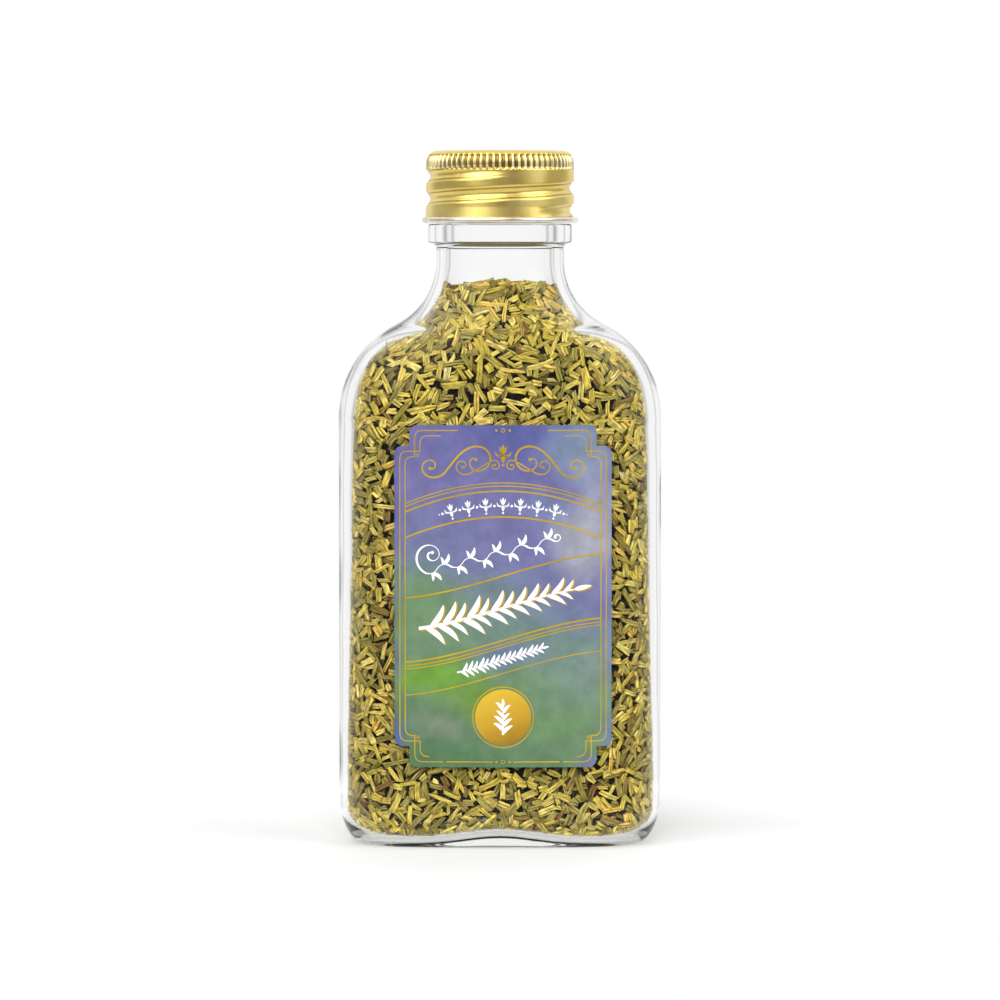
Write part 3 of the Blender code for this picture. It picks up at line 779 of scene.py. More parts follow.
def make_bottle(glass):
    """The glass flask in one skin: base, outside, lip, and down the hollow to its floor."""
    rings = base_rings()
    for across, depth, z in body_sections(outside, HEEL_WIDTH, 0.0, HEEL_HEIGHT):
        rings.append(oval_ring(across, depth, z))
    rings += collar_rings()
    rings += finish_rings()
    bore = NECK_RADIUS - NECK_WALL
    for turn in arc_steps(0.0, math.pi / 2, 15):
        radius = bore + LIP_ROUNDING / 2 * (1 - math.sin(turn))
        rings.append(turned_ring(radius, LIP_Z - LIP_ROUNDING / 2 * (1 - math.cos(turn))))
    for z in np.linspace(LIP_Z - LIP_ROUNDING, NECK_TOP_Z, 8):
        rings.append(turned_ring(bore, z))
    hollow = cavity_rings(0.0, GLASS_POINTS)
    rings += reversed(hollow)
    foot = hollow[0]
    floor_point = np.array([0.0, 0.0, FLOOR_Z + FLOOR_HUMP_HEIGHT + FLOOR_RISE])
    for share in (0.75, 0.5, 0.25):
        ring = foot * (share, share, 0.0)
        ring[:, 2] = FLOOR_Z + FLOOR_RISE * (1 - share**2)
        rings.append(lift_floor(ring, 1.0))
    points, faces = loft(rings, (0.0, 0.0, PUSH_UP_HEIGHT), floor_point)
    add_mesh("flask_glass", points, faces, [glass], ["glass_bottle"], "flask", sharp=60)


# ---------------------------------------------------------------- cap

CAP_POINTS = 490
CAP_FLUTES = 70
CAP_RADIUS = 14.0 * MM
CAP_SHELL = 0.3 * MM
CAP_CORNER_RADIUS = 2.2 * MM
CAP_KNURL = (127.6 * MM, 130.5 * MM)
CAP_KNURL_DEPTH = 0.65 * MM
KNURL_ENDS = (0.18, 0.12)  # the shares of the band in which the flutes run in, at its foot and top
KNURL_SHARPNESS = (1.1, 0.45)  # low flutes are narrow valleys, high ones wide
HIGHLIGHT_DEPTH = 0.35  # the flutes' ridges get a painted highlight where the flutes are shallower than this share
CAP_INNER_ROW = 3
CAP_FLARE = 0.15 * MM  # how far the skirt widens below the thread
CAP_FLARE_Z = (THREAD_START_Z - 1.6 * MM, THREAD_START_Z + 0.6 * MM)
CAP_BEAD_REACH = 1.7  # how far up the skirt the bead starts, in its radii
CAP_BEAD_RADIUS = 0.6 * MM
CAP_BEAD_OUT = 0.18 * MM


def knurl_depth(z):
    """How far the flutes press in round the cap at a height, deepest at the top of the band."""
    low, high = CAP_KNURL
    if not low < z < high:
        return np.zeros(CAP_POINTS)
    share = (z - low) / (high - low)
    turn = np.linspace(0.0, TURN, CAP_POINTS, endpoint=False)
    wave = 0.5 + 0.5 * np.cos(CAP_FLUTES * turn)
    sharpness = KNURL_SHARPNESS[0] + (KNURL_SHARPNESS[1] - KNURL_SHARPNESS[0]) * share
    ends = min(1.0, share / KNURL_ENDS[0]) * min(1.0, (1 - share) / KNURL_ENDS[1])
    return CAP_KNURL_DEPTH * math.sin(ends * math.pi / 2) * wave**sharpness


def cap_skirt():
    """Heights down the cap's side, with the plain radius at each."""
    rows = []
    corner_x = CAP_RADIUS - CAP_CORNER_RADIUS
    corner_z = CAP_HIGH.z - CAP_CORNER_RADIUS
    for turn in arc_steps(math.pi / 2, 0.0, 5):
        across, up = CAP_CORNER_RADIUS * math.cos(turn), CAP_CORNER_RADIUS * math.sin(turn)
        rows.append((corner_x + across, corner_z + up))
    bottom = CAP_LOW.z + CAP_BEAD_REACH * CAP_BEAD_RADIUS
    count = round((corner_z - bottom) / CAP_ROW)
    for z in np.linspace(corner_z, bottom, count)[1:]:
        low_share = np.clip((CAP_FLARE_Z[1] - z) / (CAP_FLARE_Z[1] - CAP_FLARE_Z[0]), 0.0, 1.0)
        rows.append((CAP_RADIUS + CAP_FLARE * low_share, z))
    return rows


def make_cap(gold, bare):
    """The cap's shell: fluted top edge, rolled thread, plain skirt and a curled bead."""
    outer = []
    inner = []
    depths = []
    highlight_rows = []
    for row, (radius, z) in enumerate(cap_skirt()):
        flutes = knurl_depth(z)
        pressed = thread_bump(z, CAP_THREAD, CAP_POINTS) + flutes
        creased = pressed
        for lift in CAP_CREASE_LIFTS:
            creased = creased + thread_bump(z, {**CAP_CREASES, "lift": lift}, CAP_POINTS)
        outer.append(turned_ring(radius - creased, z, CAP_POINTS))
        # Painted shade: how far a point lies in a flute or a crease, for the gold to be darkened there.
        recess_shade = np.maximum(flutes / CAP_KNURL_DEPTH, (creased - pressed) / CAP_CREASES["height"])
        depths.append(np.clip(recess_shade, 0.0, 1.0))
        # Painted highlight along the ridges of the flutes, inside the band.
        ridge = np.clip(1 - flutes / (HIGHLIGHT_DEPTH * CAP_KNURL_DEPTH), 0.0, 1.0)
        highlight_rows.append(ridge * (CAP_KNURL[0] + 0.2 * MM < z < CAP_KNURL[1] - 0.3 * MM))
        if z <= CAP_HIGH.z - CAP_SHELL and row % CAP_INNER_ROW == 0:
            inner.append(turned_ring(radius - CAP_SHELL - pressed, z, CAP_POINTS))
    first_bead = len(outer)
    bead_z = CAP_LOW.z + CAP_BEAD_RADIUS
    across = CAP_RADIUS + CAP_BEAD_OUT
    bead = []
    for turn in arc_steps(math.radians(75), math.radians(-200), 12):
        radius = across + CAP_BEAD_RADIUS * math.cos(turn)
        bead.append(turned_ring(radius, bead_z + CAP_BEAD_RADIUS * math.sin(turn), CAP_POINTS))
    rings = outer + bead + inner[::-1]
    count = CAP_POINTS
    points, faces = loft(rings, (0.0, 0.0, CAP_HIGH.z), (0.0, 0.0, CAP_HIGH.z - CAP_SHELL))
    finish = np.zeros(len(faces))
    finish[first_bead * count : (first_bead + len(bead)) * count] = 1
    metals = [gold, bare]
    cap = add_mesh("cap", points, faces, metals, ["cap_shell"], "cap", finish, sharp=65)
    for name, rows in (("pressed", depths), ("ridge_highlight", highlight_rows)):
        values = np.zeros(len(points))
        values[: first_bead * count] = np.concatenate(rows)
        set_values(cap.data, name, values)


LINER_EDGE = 0.12 * MM
LINER_FLAT = (0.35, 0.72)  # where the flat middle has its rings, as shares of the radius
PRESS_FROM, PRESS_WIDTH = 0.74, 0.2  # the pressed ring, as shares of the radius
PRESS_DEPTH = 0.18 * MM


def make_liner(foam):
    """The sealing disc, with the ring that the lip has pressed into its face."""
    radius = LINER_HIGH.x
    low, high = LINER_LOW.z, LINER_HIGH.z
    edge = LINER_EDGE
    profile = [(share * radius, low) for share in LINER_FLAT]
    for share in np.linspace(0.0, 1.0, 9):
        across = (PRESS_FROM + PRESS_WIDTH * share) * radius
        profile.append((across, low + PRESS_DEPTH * math.sin(math.pi * share)))
    profile += [(radius - edge, low), (radius, low + edge), (radius, high - edge), (radius - edge, high)]
    profile.append((LINER_FLAT[0] * radius, high))
    rings = [turned_ring(across, z, 96) for across, z in profile]
    points, faces = loft(rings, (0.0, 0.0, low), (0.0, 0.0, high))
    add_mesh("liner", points, faces, [foam], ["cap_liner"], "cap_carrier", sharp=50)


# ---------------------------------------------------------------- rosemary

# Round a leaf's section: half widths across, and shares of its thickness up. The top has a groove
# along its middle, and the underside has rolled edges with a rib between them.
LEAF_SECTION = (
    (-1.0, 0.5), (-0.88, 0.9), (-0.4, 1.0), (0.0, 0.96), (0.4, 1.0), (0.88, 0.9),
    (1.0, 0.5), (0.84, 0.04), (0.42, 0.06), (0.0, 0.3), (-0.42, 0.06), (-0.84, 0.04),
)  # fmt: skip
LEAF_GROOVE = (3, 0.4)  # the section's groove point, and the share of the thickness it can sink
LEAF_STATIONS = (0.0, 0.33, 0.67, 1.0)
LEAF_LENGTHS = (1.2 * MM, 6.2 * MM)
LEAF_WIDTHS = (0.6 * MM, 1.35 * MM)
LEAF_THICKNESSES = (0.38 * MM, 0.62 * MM)
# The depths at which a leaf is shut in the heap's shade and wholly open to the light.
WALL_OPEN = (1.0 * MM, 0.15 * MM)
MOUND_OPEN = (0.0, 2.2 * MM)
LEAF_SEED = 11
LEAF_ROLL = 0.22  # spread, in radians, of the turn about its length
GROOVE_OUT = 0.62  # the share of leaves that show their grooved side
LEAF_BENDS = (0.022, 0.01)  # spreads of the bend sideways and up, as shares of the length
BENT_LENGTH = 4.0 * MM  # the leaf that these are given for; the share grows with the length
POINTED = 0.3  # the share of leaves that narrow to one end
STEEPEST = 0.3  # a leaf's greatest lean, as a share of its length
FOOTPRINT_STEP = 0.24 * MM
FOOTPRINT_WIDTH = 0.45  # half the width that counts as a leaf's footprint, as a share
PACKING = 0.85  # how much of its thickness a leaf adds to the pile
WALL_GAP = 0.15 * MM
WALL_CELLS = 560
WALL_STEP = 0.25 * MM
FILL_CORE_DEPTH = 3.0 * MM
MOUND_RADIUS = 8.7 * MM
MOUND_Z = 103.1 * MM
MOUND_CELL = 0.25 * MM
MOUND_EDGE = 1.6 * MM  # how far from its rim the mound's leaves keep their middles
MOUND_SLOPE = 0.05
MOUND_HUMPS = (0.3 * MM, 3.1 * MM, 2.7 * MM)  # height, and reach across and in depth
MOUND_STAGES = ((360, 1.0, 0.3 * MM), (330, 1.0, 1.4 * MM), (160, 1.0, 2.4 * MM))
CORE_ROUGHNESS = 0.02
# Each stage is a number of tries, the most of a footprint that may be covered, the deepest pile.
WALL_STAGES = (
    (12000, 0.05, 0.0),
    (14000, 0.16, 0.0),
    (14000, 0.45, 0.35 * MM),
    (4200, 1.0, 0.9 * MM),
    (3200, 1.0, 1.4 * MM),
)
# The bearings, round the flask, at which one piece of the heap ends and the next begins.
WALL_BOUNDS = [math.radians(bearing) for bearing in (-135, -90, -45, 45, 135)]


def wall_surface():
    """The surface just inside the hollow as a fine grid of points, rows upwards, columns round."""
    rings = cavity_rings(WALL_GAP, WALL_CELLS, step=0.8, rise=WALL_STEP)
    grid = np.array(rings)
    heights = grid[:, :, 2].mean(axis=1)
    grid = grid[heights < LEAVES_TOP - 0.4 * MM]
    gaps = np.linalg.norm(np.diff(grid, axis=0), axis=2).max(axis=1)  # the widest step of each row
    travel = np.concatenate([[0.0], np.cumsum(gaps)])
    even = np.arange(0.0, travel[-1], WALL_STEP)
    level = np.interp(even, travel, np.arange(len(travel)))
    low = np.clip(level.astype(int), 0, len(grid) - 2)
    share = (level - low)[:, None, None]
    return grid[low] * (1 - share) + grid[low + 1] * share


def grid_frames(grid, wraps):
    """Cell sizes and unit directions along columns and rows, and the inward normal."""
    if wraps:
        along = (np.roll(grid, -1, axis=1) - np.roll(grid, 1, axis=1)) / 2
    else:
        along = np.gradient(grid, axis=1)
    rise = np.gradient(grid, axis=0)
    wide = np.linalg.norm(along, axis=2)
    high = np.linalg.norm(rise, axis=2)
    along /= wide[..., None]
    rise /= high[..., None]
    normal = np.cross(rise, along)
    normal /= np.linalg.norm(normal, axis=2)[..., None]
    return wide, high, normal


def footprint(length, width, angle):
    """Places under a leaf, as offsets along the surface's rows and columns."""
    lengthwise = np.arange(-length / 2, length / 2 + 1e-9, FOOTPRINT_STEP)
    sideways = np.linspace(-FOOTPRINT_WIDTH, FOOTPRINT_WIDTH, 5) * width
    a, b = np.meshgrid(lengthwise, sideways, indexing="ij")
    return a * math.cos(angle) - b * math.sin(angle), a * math.sin(angle) + b * math.cos(angle)


def settle(under, length):
    """The depths at which a leaf's two ends come to rest on a pile, with its lean limited."""
    half = len(under) // 2
    first = np.percentile(under[:half], 75) if half else under.max()
    last = np.percentile(under[half:], 75)
    steepest = STEEPEST * length
    middle = (first + last) / 2
    lean = np.clip(last - first, -steepest, steepest)
    return middle - lean / 2, middle + lean / 2


def lay_leaves(grid, wraps, stages, draw, kept=None):
    """Drop leaves on a surface, each resting on those before it.

    A stage is (tries, most share of the footprint already covered, deepest pile to drop on). The
    result has a row for each leaf: two ends, normal, length, width, thickness, and its two ends' depths.
    """
    wide, high, normal = grid_frames(grid, wraps)
    rows, columns = wide.shape
    chance = (wide * high).ravel()
    if kept is not None:
        chance = chance * kept.ravel()
    chance /= chance.sum()
    pile = np.zeros((rows, columns))
    leaves = []
    for tries, most_covered, deepest in stages:
        cells = draw.choice(rows * columns, tries, p=chance)
        angles = draw.uniform(0.0, math.pi, tries)
        lengths = LEAF_LENGTHS[0] + (LEAF_LENGTHS[1] - LEAF_LENGTHS[0]) * draw.beta(1.5, 2.9, tries)
        widths = draw.uniform(*LEAF_WIDTHS, tries)
        thicks = draw.uniform(*LEAF_THICKNESSES, tries)
        for cell, angle, length, width, thick in zip(cells, angles, lengths, widths, thicks, strict=True):
            row, column = divmod(int(cell), columns)
            if pile[row, column] > deepest:
                continue
            x, y = footprint(length, width, angle)
            at_column = column + np.rint(x / wide[row, column]).astype(int)
            at_row = row + np.rint(y / high[row, column]).astype(int)
            if wraps:
                at_column %= columns
            off_grid = (at_row < 0) | (at_row >= rows) | (at_column < 0) | (at_column >= columns)
            if off_grid.any():
                continue
            under = pile[at_row, at_column]
            if (under > 0).mean() > most_covered:
                continue
            first, last = settle(under, length)
            ramp_up = np.linspace(first, last, len(x))[:, None]
            pile[at_row, at_column] = np.maximum(under, ramp_up + PACKING * thick)
            middle = x.shape[1] // 2
            ends = []
            for end, depth in ((0, first), (-1, last)):
                i, j = at_row[end, middle], at_column[end, middle]
                ends.append(grid[i, j] + normal[i, j] * (depth + thick / 2))
            leaves.append([*ends[0], *ends[1], *normal[row, column], length, width, thick, first, last])
    return np.array(leaves)


def leaf_axes(leaves, roll):
    """Each leaf's middle and its unit directions along, sideways and up, after its roll."""
    start, end, normal = leaves[:, 0:3], leaves[:, 3:6], leaves[:, 6:9]
    ex = end - start
    ex /= np.linalg.norm(ex, axis=1)[:, None]
    ez = normal - ex * np.sum(normal * ex, axis=1)[:, None]
    ez /= np.linalg.norm(ez, axis=1)[:, None]
    ey = np.cross(ez, ex)
    side = ey * np.cos(roll)[:, None] + ez * np.sin(roll)[:, None]
    up = ez * np.cos(roll)[:, None] - ey * np.sin(roll)[:, None]
    return (start + end) / 2, ex, side, up


def leaf_meshes(leaves, draw):
    """Points, corner lists and shading values for a set of leaves."""
    count = len(leaves)
    normal = leaves[:, 6:9]
    length, width, thick, start_depth, end_depth = leaves[:, 9:14].T
    roll = draw.normal(0.0, LEAF_ROLL, count)
    roll += np.where(draw.random(count) < GROOVE_OUT, math.pi, 0.0)
    middle, ex, side, up = leaf_axes(leaves, roll)
    bend, arch = (draw.normal(0.0, spread, count) * length**2 / BENT_LENGTH for spread in LEAF_BENDS)
    groove = np.clip(draw.uniform(-0.4, 1.2, count), 0.0, 1.0)
    pointed = draw.random(count) < POINTED
    taper = np.where(pointed, draw.uniform(0.2, 0.7, count), draw.uniform(0.0, 0.12, count))
    taper *= np.sign(draw.uniform(-1, 1, count))
    skew = draw.normal(0.0, 0.2, (2, count)) * MM
    section = np.array(LEAF_SECTION)
    points = np.zeros((count, len(LEAF_STATIONS), len(section), 3))
    shading = np.zeros_like(points)
    depth = np.zeros(points.shape[:3])
    for station, share in enumerate(LEAF_STATIONS):
        off = share - 0.5
        bow = 1 - 4 * off * off  # 1 at the leaf's middle, 0 at its ends
        narrow = 1 - np.clip(taper * 2 * off, 0.0, 1.0) ** 1.5 + draw.normal(0.0, 0.05, count)
        centre = middle + ex * (off * length)[:, None]
        centre = centre + side * (bend * bow)[:, None] + up * (arch * bow)[:, None]
        across = section[:, 0][None, :] * (width / 2 * narrow)[:, None]
        level = np.tile(section[:, 1] - 0.5, (count, 1))
        level[:, LEAF_GROOVE[0]] -= LEAF_GROOVE[1] * groove
        height = level * (thick * (0.6 + 0.4 * narrow))[:, None]
        cut = np.zeros((count, len(section)))
        if station in (0, len(LEAF_STATIONS) - 1):
            cut = section[:, 0][None, :] * skew[min(station, 1)][:, None]
        points[:, station] = (
            centre[:, None, :]
            + side[:, None, :] * across[..., None]
            + up[:, None, :] * height[..., None]
            + ex[:, None, :] * cut[..., None]
        )
        level_depth = start_depth + (end_depth - start_depth) * share + thick / 2
        off_centre = points[:, station] - middle[:, None, :] - ex[:, None, :] * (off * length)[:, None, None]
        depth[:, station] = level_depth[:, None] + np.sum(off_centre * normal[:, None, :], axis=2)
        shading[:, station, :, 0] = section[:, 0]
        shading[:, station, :, 1] = section[:, 1]
        shading[:, station, :, 2] = (off * length / MM)[:, None]
    return points, shading, groove, depth


def leaf_faces():
    """One leaf's faces, as point numbers, and the same corners' places in a unit square."""
    ring = len(LEAF_SECTION)
    last = len(LEAF_STATIONS) - 1
    faces = []
    places = []
    for station in range(last):
        for i in range(ring):
            after = (i + 1) % ring
            low = station * ring
            faces.append((low + i, low + after, low + ring + after, low + ring + i))
            left, right = (0.06 + 0.78 * s for s in (LEAF_STATIONS[station], LEAF_STATIONS[station + 1]))
            bottom, top = 0.06 + 0.88 * i / ring, 0.06 + 0.88 * (i + 1) / ring
            places.append(((left, bottom), (left, top), (right, top), (right, bottom)))
    faces.append(tuple(range(ring - 1, -1, -1)))
    faces.append(tuple(range(last * ring, (last + 1) * ring)))
    for face, middle in ((faces[-2], 0.28), (faces[-1], 0.72)):
        spots = [LEAF_SECTION[point % ring] for point in face]
        places.append(tuple((0.91 + 0.04 * across, middle + 0.3 * (up - 0.5)) for across, up in spots))
    return faces, places


def add_leaves(name, leaves, draw, material, replaced, shut_and_open):
    """One group of leaves as a piece, with its tone, grain and texture places."""
    points, shading, groove, depth = leaf_meshes(leaves, draw)
    count = len(leaves)
    faces, places = leaf_faces()
    per_leaf = len(LEAF_STATIONS) * len(LEAF_SECTION)
    corners = np.concatenate([np.array(face) for face in faces])
    sizes = np.array([len(face) for face in faces])
    all_corners = (corners[None, :] + per_leaf * np.arange(count)[:, None]).ravel()
    mesh = bpy.data.meshes.new(name)
    finish_mesh(
        mesh, points.reshape(-1, 3), all_corners, np.tile(sizes, count), [material],
        replaced, "flask", None, None,
    )  # fmt: skip
    shut, bare = shut_and_open
    set_values(mesh, "sharp_face", np.tile(sizes > 4, count), "BOOLEAN", "FACE")
    set_values(mesh, "tint", np.repeat(draw.random(count), per_leaf))
    # Painted shade: how far each point is from the open face of the heap.
    set_values(mesh, "open", np.clip((depth - shut) / (bare - shut), 0.0, 1.0))
    set_values(mesh, "groove", np.repeat(groove, per_leaf))
    set_values(mesh, "leaf", shading, "FLOAT_VECTOR")
    grid = math.ceil(math.sqrt(count))
    spots = np.concatenate([np.array(place) for place in places])
    cell = np.column_stack([np.arange(count) % grid, np.arange(count) // grid])
    lay_out(mesh, (spots[None, :, :] + cell[:, None, :]) / grid)


def make_rosemary(leaf_material, crumb):
    """The heap: leaves laid against the glass, a mound of them in the neck, and the inside, dark as painted
    shade.
    """
    draw = np.random.default_rng(LEAF_SEED)
    grid = wall_surface()
    leaves = lay_leaves(grid, True, WALL_STAGES, draw)
    bearing = np.arctan2(leaves[:, 1] + leaves[:, 4], leaves[:, 0] + leaves[:, 3])
    groups = np.digitize(bearing, WALL_BOUNDS) % len(WALL_BOUNDS)
    for number in range(len(WALL_BOUNDS)):
        piece_name = f"rosemary_wall_{number + 1}"
        add_leaves(piece_name, leaves[groups == number], draw, leaf_material, [], WALL_OPEN)
    make_mound(draw, leaf_material)
    make_core(crumb)


def make_mound(draw, material):
    """Leaves heaped on top, a little higher towards +X, with some standing proud."""
    steps = np.arange(-MOUND_RADIUS, MOUND_RADIUS + MOUND_CELL / 2, MOUND_CELL)
    x, y = np.meshgrid(steps, steps[::-1])
    hump, wide, deep = MOUND_HUMPS
    z = MOUND_Z + MOUND_SLOPE * x + hump * np.cos(x / wide) * np.cos(y / deep)
    grid = np.stack([x, y, z], axis=2)
    kept = (x**2 + y**2 < (MOUND_RADIUS - MOUND_EDGE) ** 2).astype(float)
    leaves = lay_leaves(grid, False, MOUND_STAGES, draw, kept)
    replaced = [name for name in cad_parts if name.startswith("rosemary_leaf")]
    add_leaves("rosemary_mound", leaves, draw, material, replaced, MOUND_OPEN)


def make_core(crumb):
    """The packed inside, a rough-skinned body behind the leaves, dark as painted shade."""
    rings = [ring for ring in cavity_rings(FILL_CORE_DEPTH, 96) if ring[:, 2].max() < MOUND_Z]
    draw = np.random.default_rng(LEAF_SEED + 1)
    rough = []
    for ring in rings:
        rough.append(ring * (1 + CORE_ROUGHNESS * draw.uniform(-1, 1, (len(ring), 1)) * (1, 1, 0)))
    bottom = (0.0, 0.0, rings[0][:, 2].mean())
    points, faces = loft(rough, bottom, (0.0, 0.0, MOUND_Z))
    add_mesh("rosemary_core", points, faces, [crumb], ["rosemary_fill"], "flask")


# ---------------------------------------------------------------- label

PAPER_THICKNESS = 0.12 * MM
PAPER_GAP = 0.02 * MM
INK_HEIGHT = 0.012 * MM
INK_DEPTH = 0.02 * MM
INK_STEP = 0.4 * MM
NOTCH = (2.8 * MM, 3.9 * MM)
LABEL_CORNER = 1.5 * MM
ARCH_DROP = 3.95 * MM
FINE_LINE = 0.2 * MM
BOLD_LINE = 0.3 * MM
HALF_WIDTH = (LABEL_HIGH.x - LABEL_LOW.x) / 2
HALF_HEIGHT = (LABEL_HIGH.z - LABEL_LOW.z) / 2
LABEL_X = (LABEL_HIGH.x + LABEL_LOW.x) / 2
LABEL_Z = (LABEL_HIGH.z + LABEL_LOW.z) / 2
FRAME_OUT = 1.0 * MM
FRAME_IN = 2.0 * MM
FRAME_TURN = 1.5 * MM
# How far from the middle the frame's outer and inner lines end, at the top and at the bottom.
FRAME_TOP_ENDS = (8.4 * MM, 11.6 * MM)
FRAME_BOTTOM_ENDS = (11.3 * MM, HALF_WIDTH - FRAME_IN - NOTCH[0] - 1.7 * MM)
RULE_REACH = HALF_WIDTH - FRAME_IN  # how far from the middle the arches and rules end
RULE_RISE = 8.3 * MM
# The arches' crowns and the rules' left ends, in millimetres above the middle, with their widths.
ARCHES = ((21.3, FINE_LINE), (20.7, FINE_LINE), (19.75, BOLD_LINE), (14.9, BOLD_LINE))
RULES = (
    (-0.3, BOLD_LINE),
    (-12.4, BOLD_LINE),
    (-13.15, FINE_LINE),
    (-13.7, FINE_LINE),
    (-18.6, FINE_LINE),
)

_turn = np.linspace(math.pi, 2 * math.pi, OUTLINE_SAMPLES)
FACE_X = BODY_HALF_DEPTH * np.cos(_turn) + (BODY_HALF_WIDTH - BODY_HALF_DEPTH) * np.tanh(
    FACE_FLATNESS * np.cos(_turn)
) / math.tanh(FACE_FLATNESS)
FACE_Y = BODY_HALF_DEPTH * np.sin(_turn)


def on_label(across, height, proud):
    """A point of the front face, from its place on the label and its distance off the glass."""
    x = LABEL_X + np.asarray(across, float)
    y = np.interp(x, FACE_X, FACE_Y) - proud
    return np.column_stack([x, y, LABEL_Z + np.asarray(height, float)])


def label_half_height(from_side):
    """Half the label's height at a distance from its side edge: a tab, a notch, then full height."""
    half_height = HALF_HEIGHT
    if from_side < NOTCH[0]:
        half_height -= NOTCH[1]
    else:
        from_side -= NOTCH[0]
    short = max(LABEL_CORNER - from_side, 0.0)
    return half_height - LABEL_CORNER + math.sqrt(LABEL_CORNER**2 - short**2)


def make_label_sheet(paper):
    """The paper itself: a thin curved sheet with stepped, rounded corners."""
    arc = [LABEL_CORNER * (1 - math.cos(turn)) for turn in arc_steps(0.0, math.pi / 2, 9)]
    columns = arc + [NOTCH[0] - 0.002 * MM] + [NOTCH[0] + step for step in arc]
    columns += list(np.linspace(columns[-1], HALF_WIDTH, 30)[1:])
    left = [(step - HALF_WIDTH, label_half_height(step)) for step in columns]
    outline = left + [(-across, half) for across, half in reversed(left[:-1])]
    across = np.array([point[0] for point in outline])
    half = np.array([point[1] for point in outline])
    levels = np.linspace(-1.0, 1.0, 41)
    front = []
    back = []
    for level in levels:
        front.append(on_label(across, half * level, PAPER_GAP + PAPER_THICKNESS))
        back.append(on_label(across, half * level, PAPER_GAP))
    rows, count = len(levels), len(across)
    points = np.concatenate(front + back)
    faces = []
    behind = rows * count
    for i in range(rows - 1):
        for j in range(count - 1):
            a = i * count + j
            faces.append((a, a + 1, a + count + 1, a + count))
            b = behind + a
            faces.append((b, b + count, b + count + 1, b + 1))
        for j, turned in ((0, False), (count - 1, True)):
            a = i * count + j
            side = (a, a + count, behind + a + count, behind + a)
            faces.append(side[::-1] if turned else side)
    for j in range(count - 1):
        faces.append((j, behind + j, behind + j + 1, j + 1))
        a = (rows - 1) * count + j
        faces.append((a, a + 1, behind + a + 1, behind + a))
    piece = add_mesh("label_sheet", points, faces, [paper], ["front_label"], "flask", sharp=40)
    lay_out_sheet(piece, behind)


def lay_out_sheet(piece, behind):
    """Texture places: the front fills most of the square, the back a strip beside it."""
    mesh = piece.data
    index = np.zeros(len(mesh.loops), np.int32)
    mesh.loops.foreach_get("vertex_index", index)
    co = np.zeros(len(mesh.vertices) * 3)
    mesh.vertices.foreach_get("co", co)
    co = co.reshape(-1, 3)[index]
    u = (co[:, 0] - LABEL_LOW.x) / (LABEL_HIGH.x - LABEL_LOW.x)
    v = (co[:, 2] - LABEL_LOW.z) / (LABEL_HIGH.z - LABEL_LOW.z)
    is_back = index >= behind
    place = np.column_stack([np.where(is_back, 0.86 + 0.12 * u, 0.01 + 0.83 * u), 0.01 + 0.98 * v])
    lay_out(mesh, place)


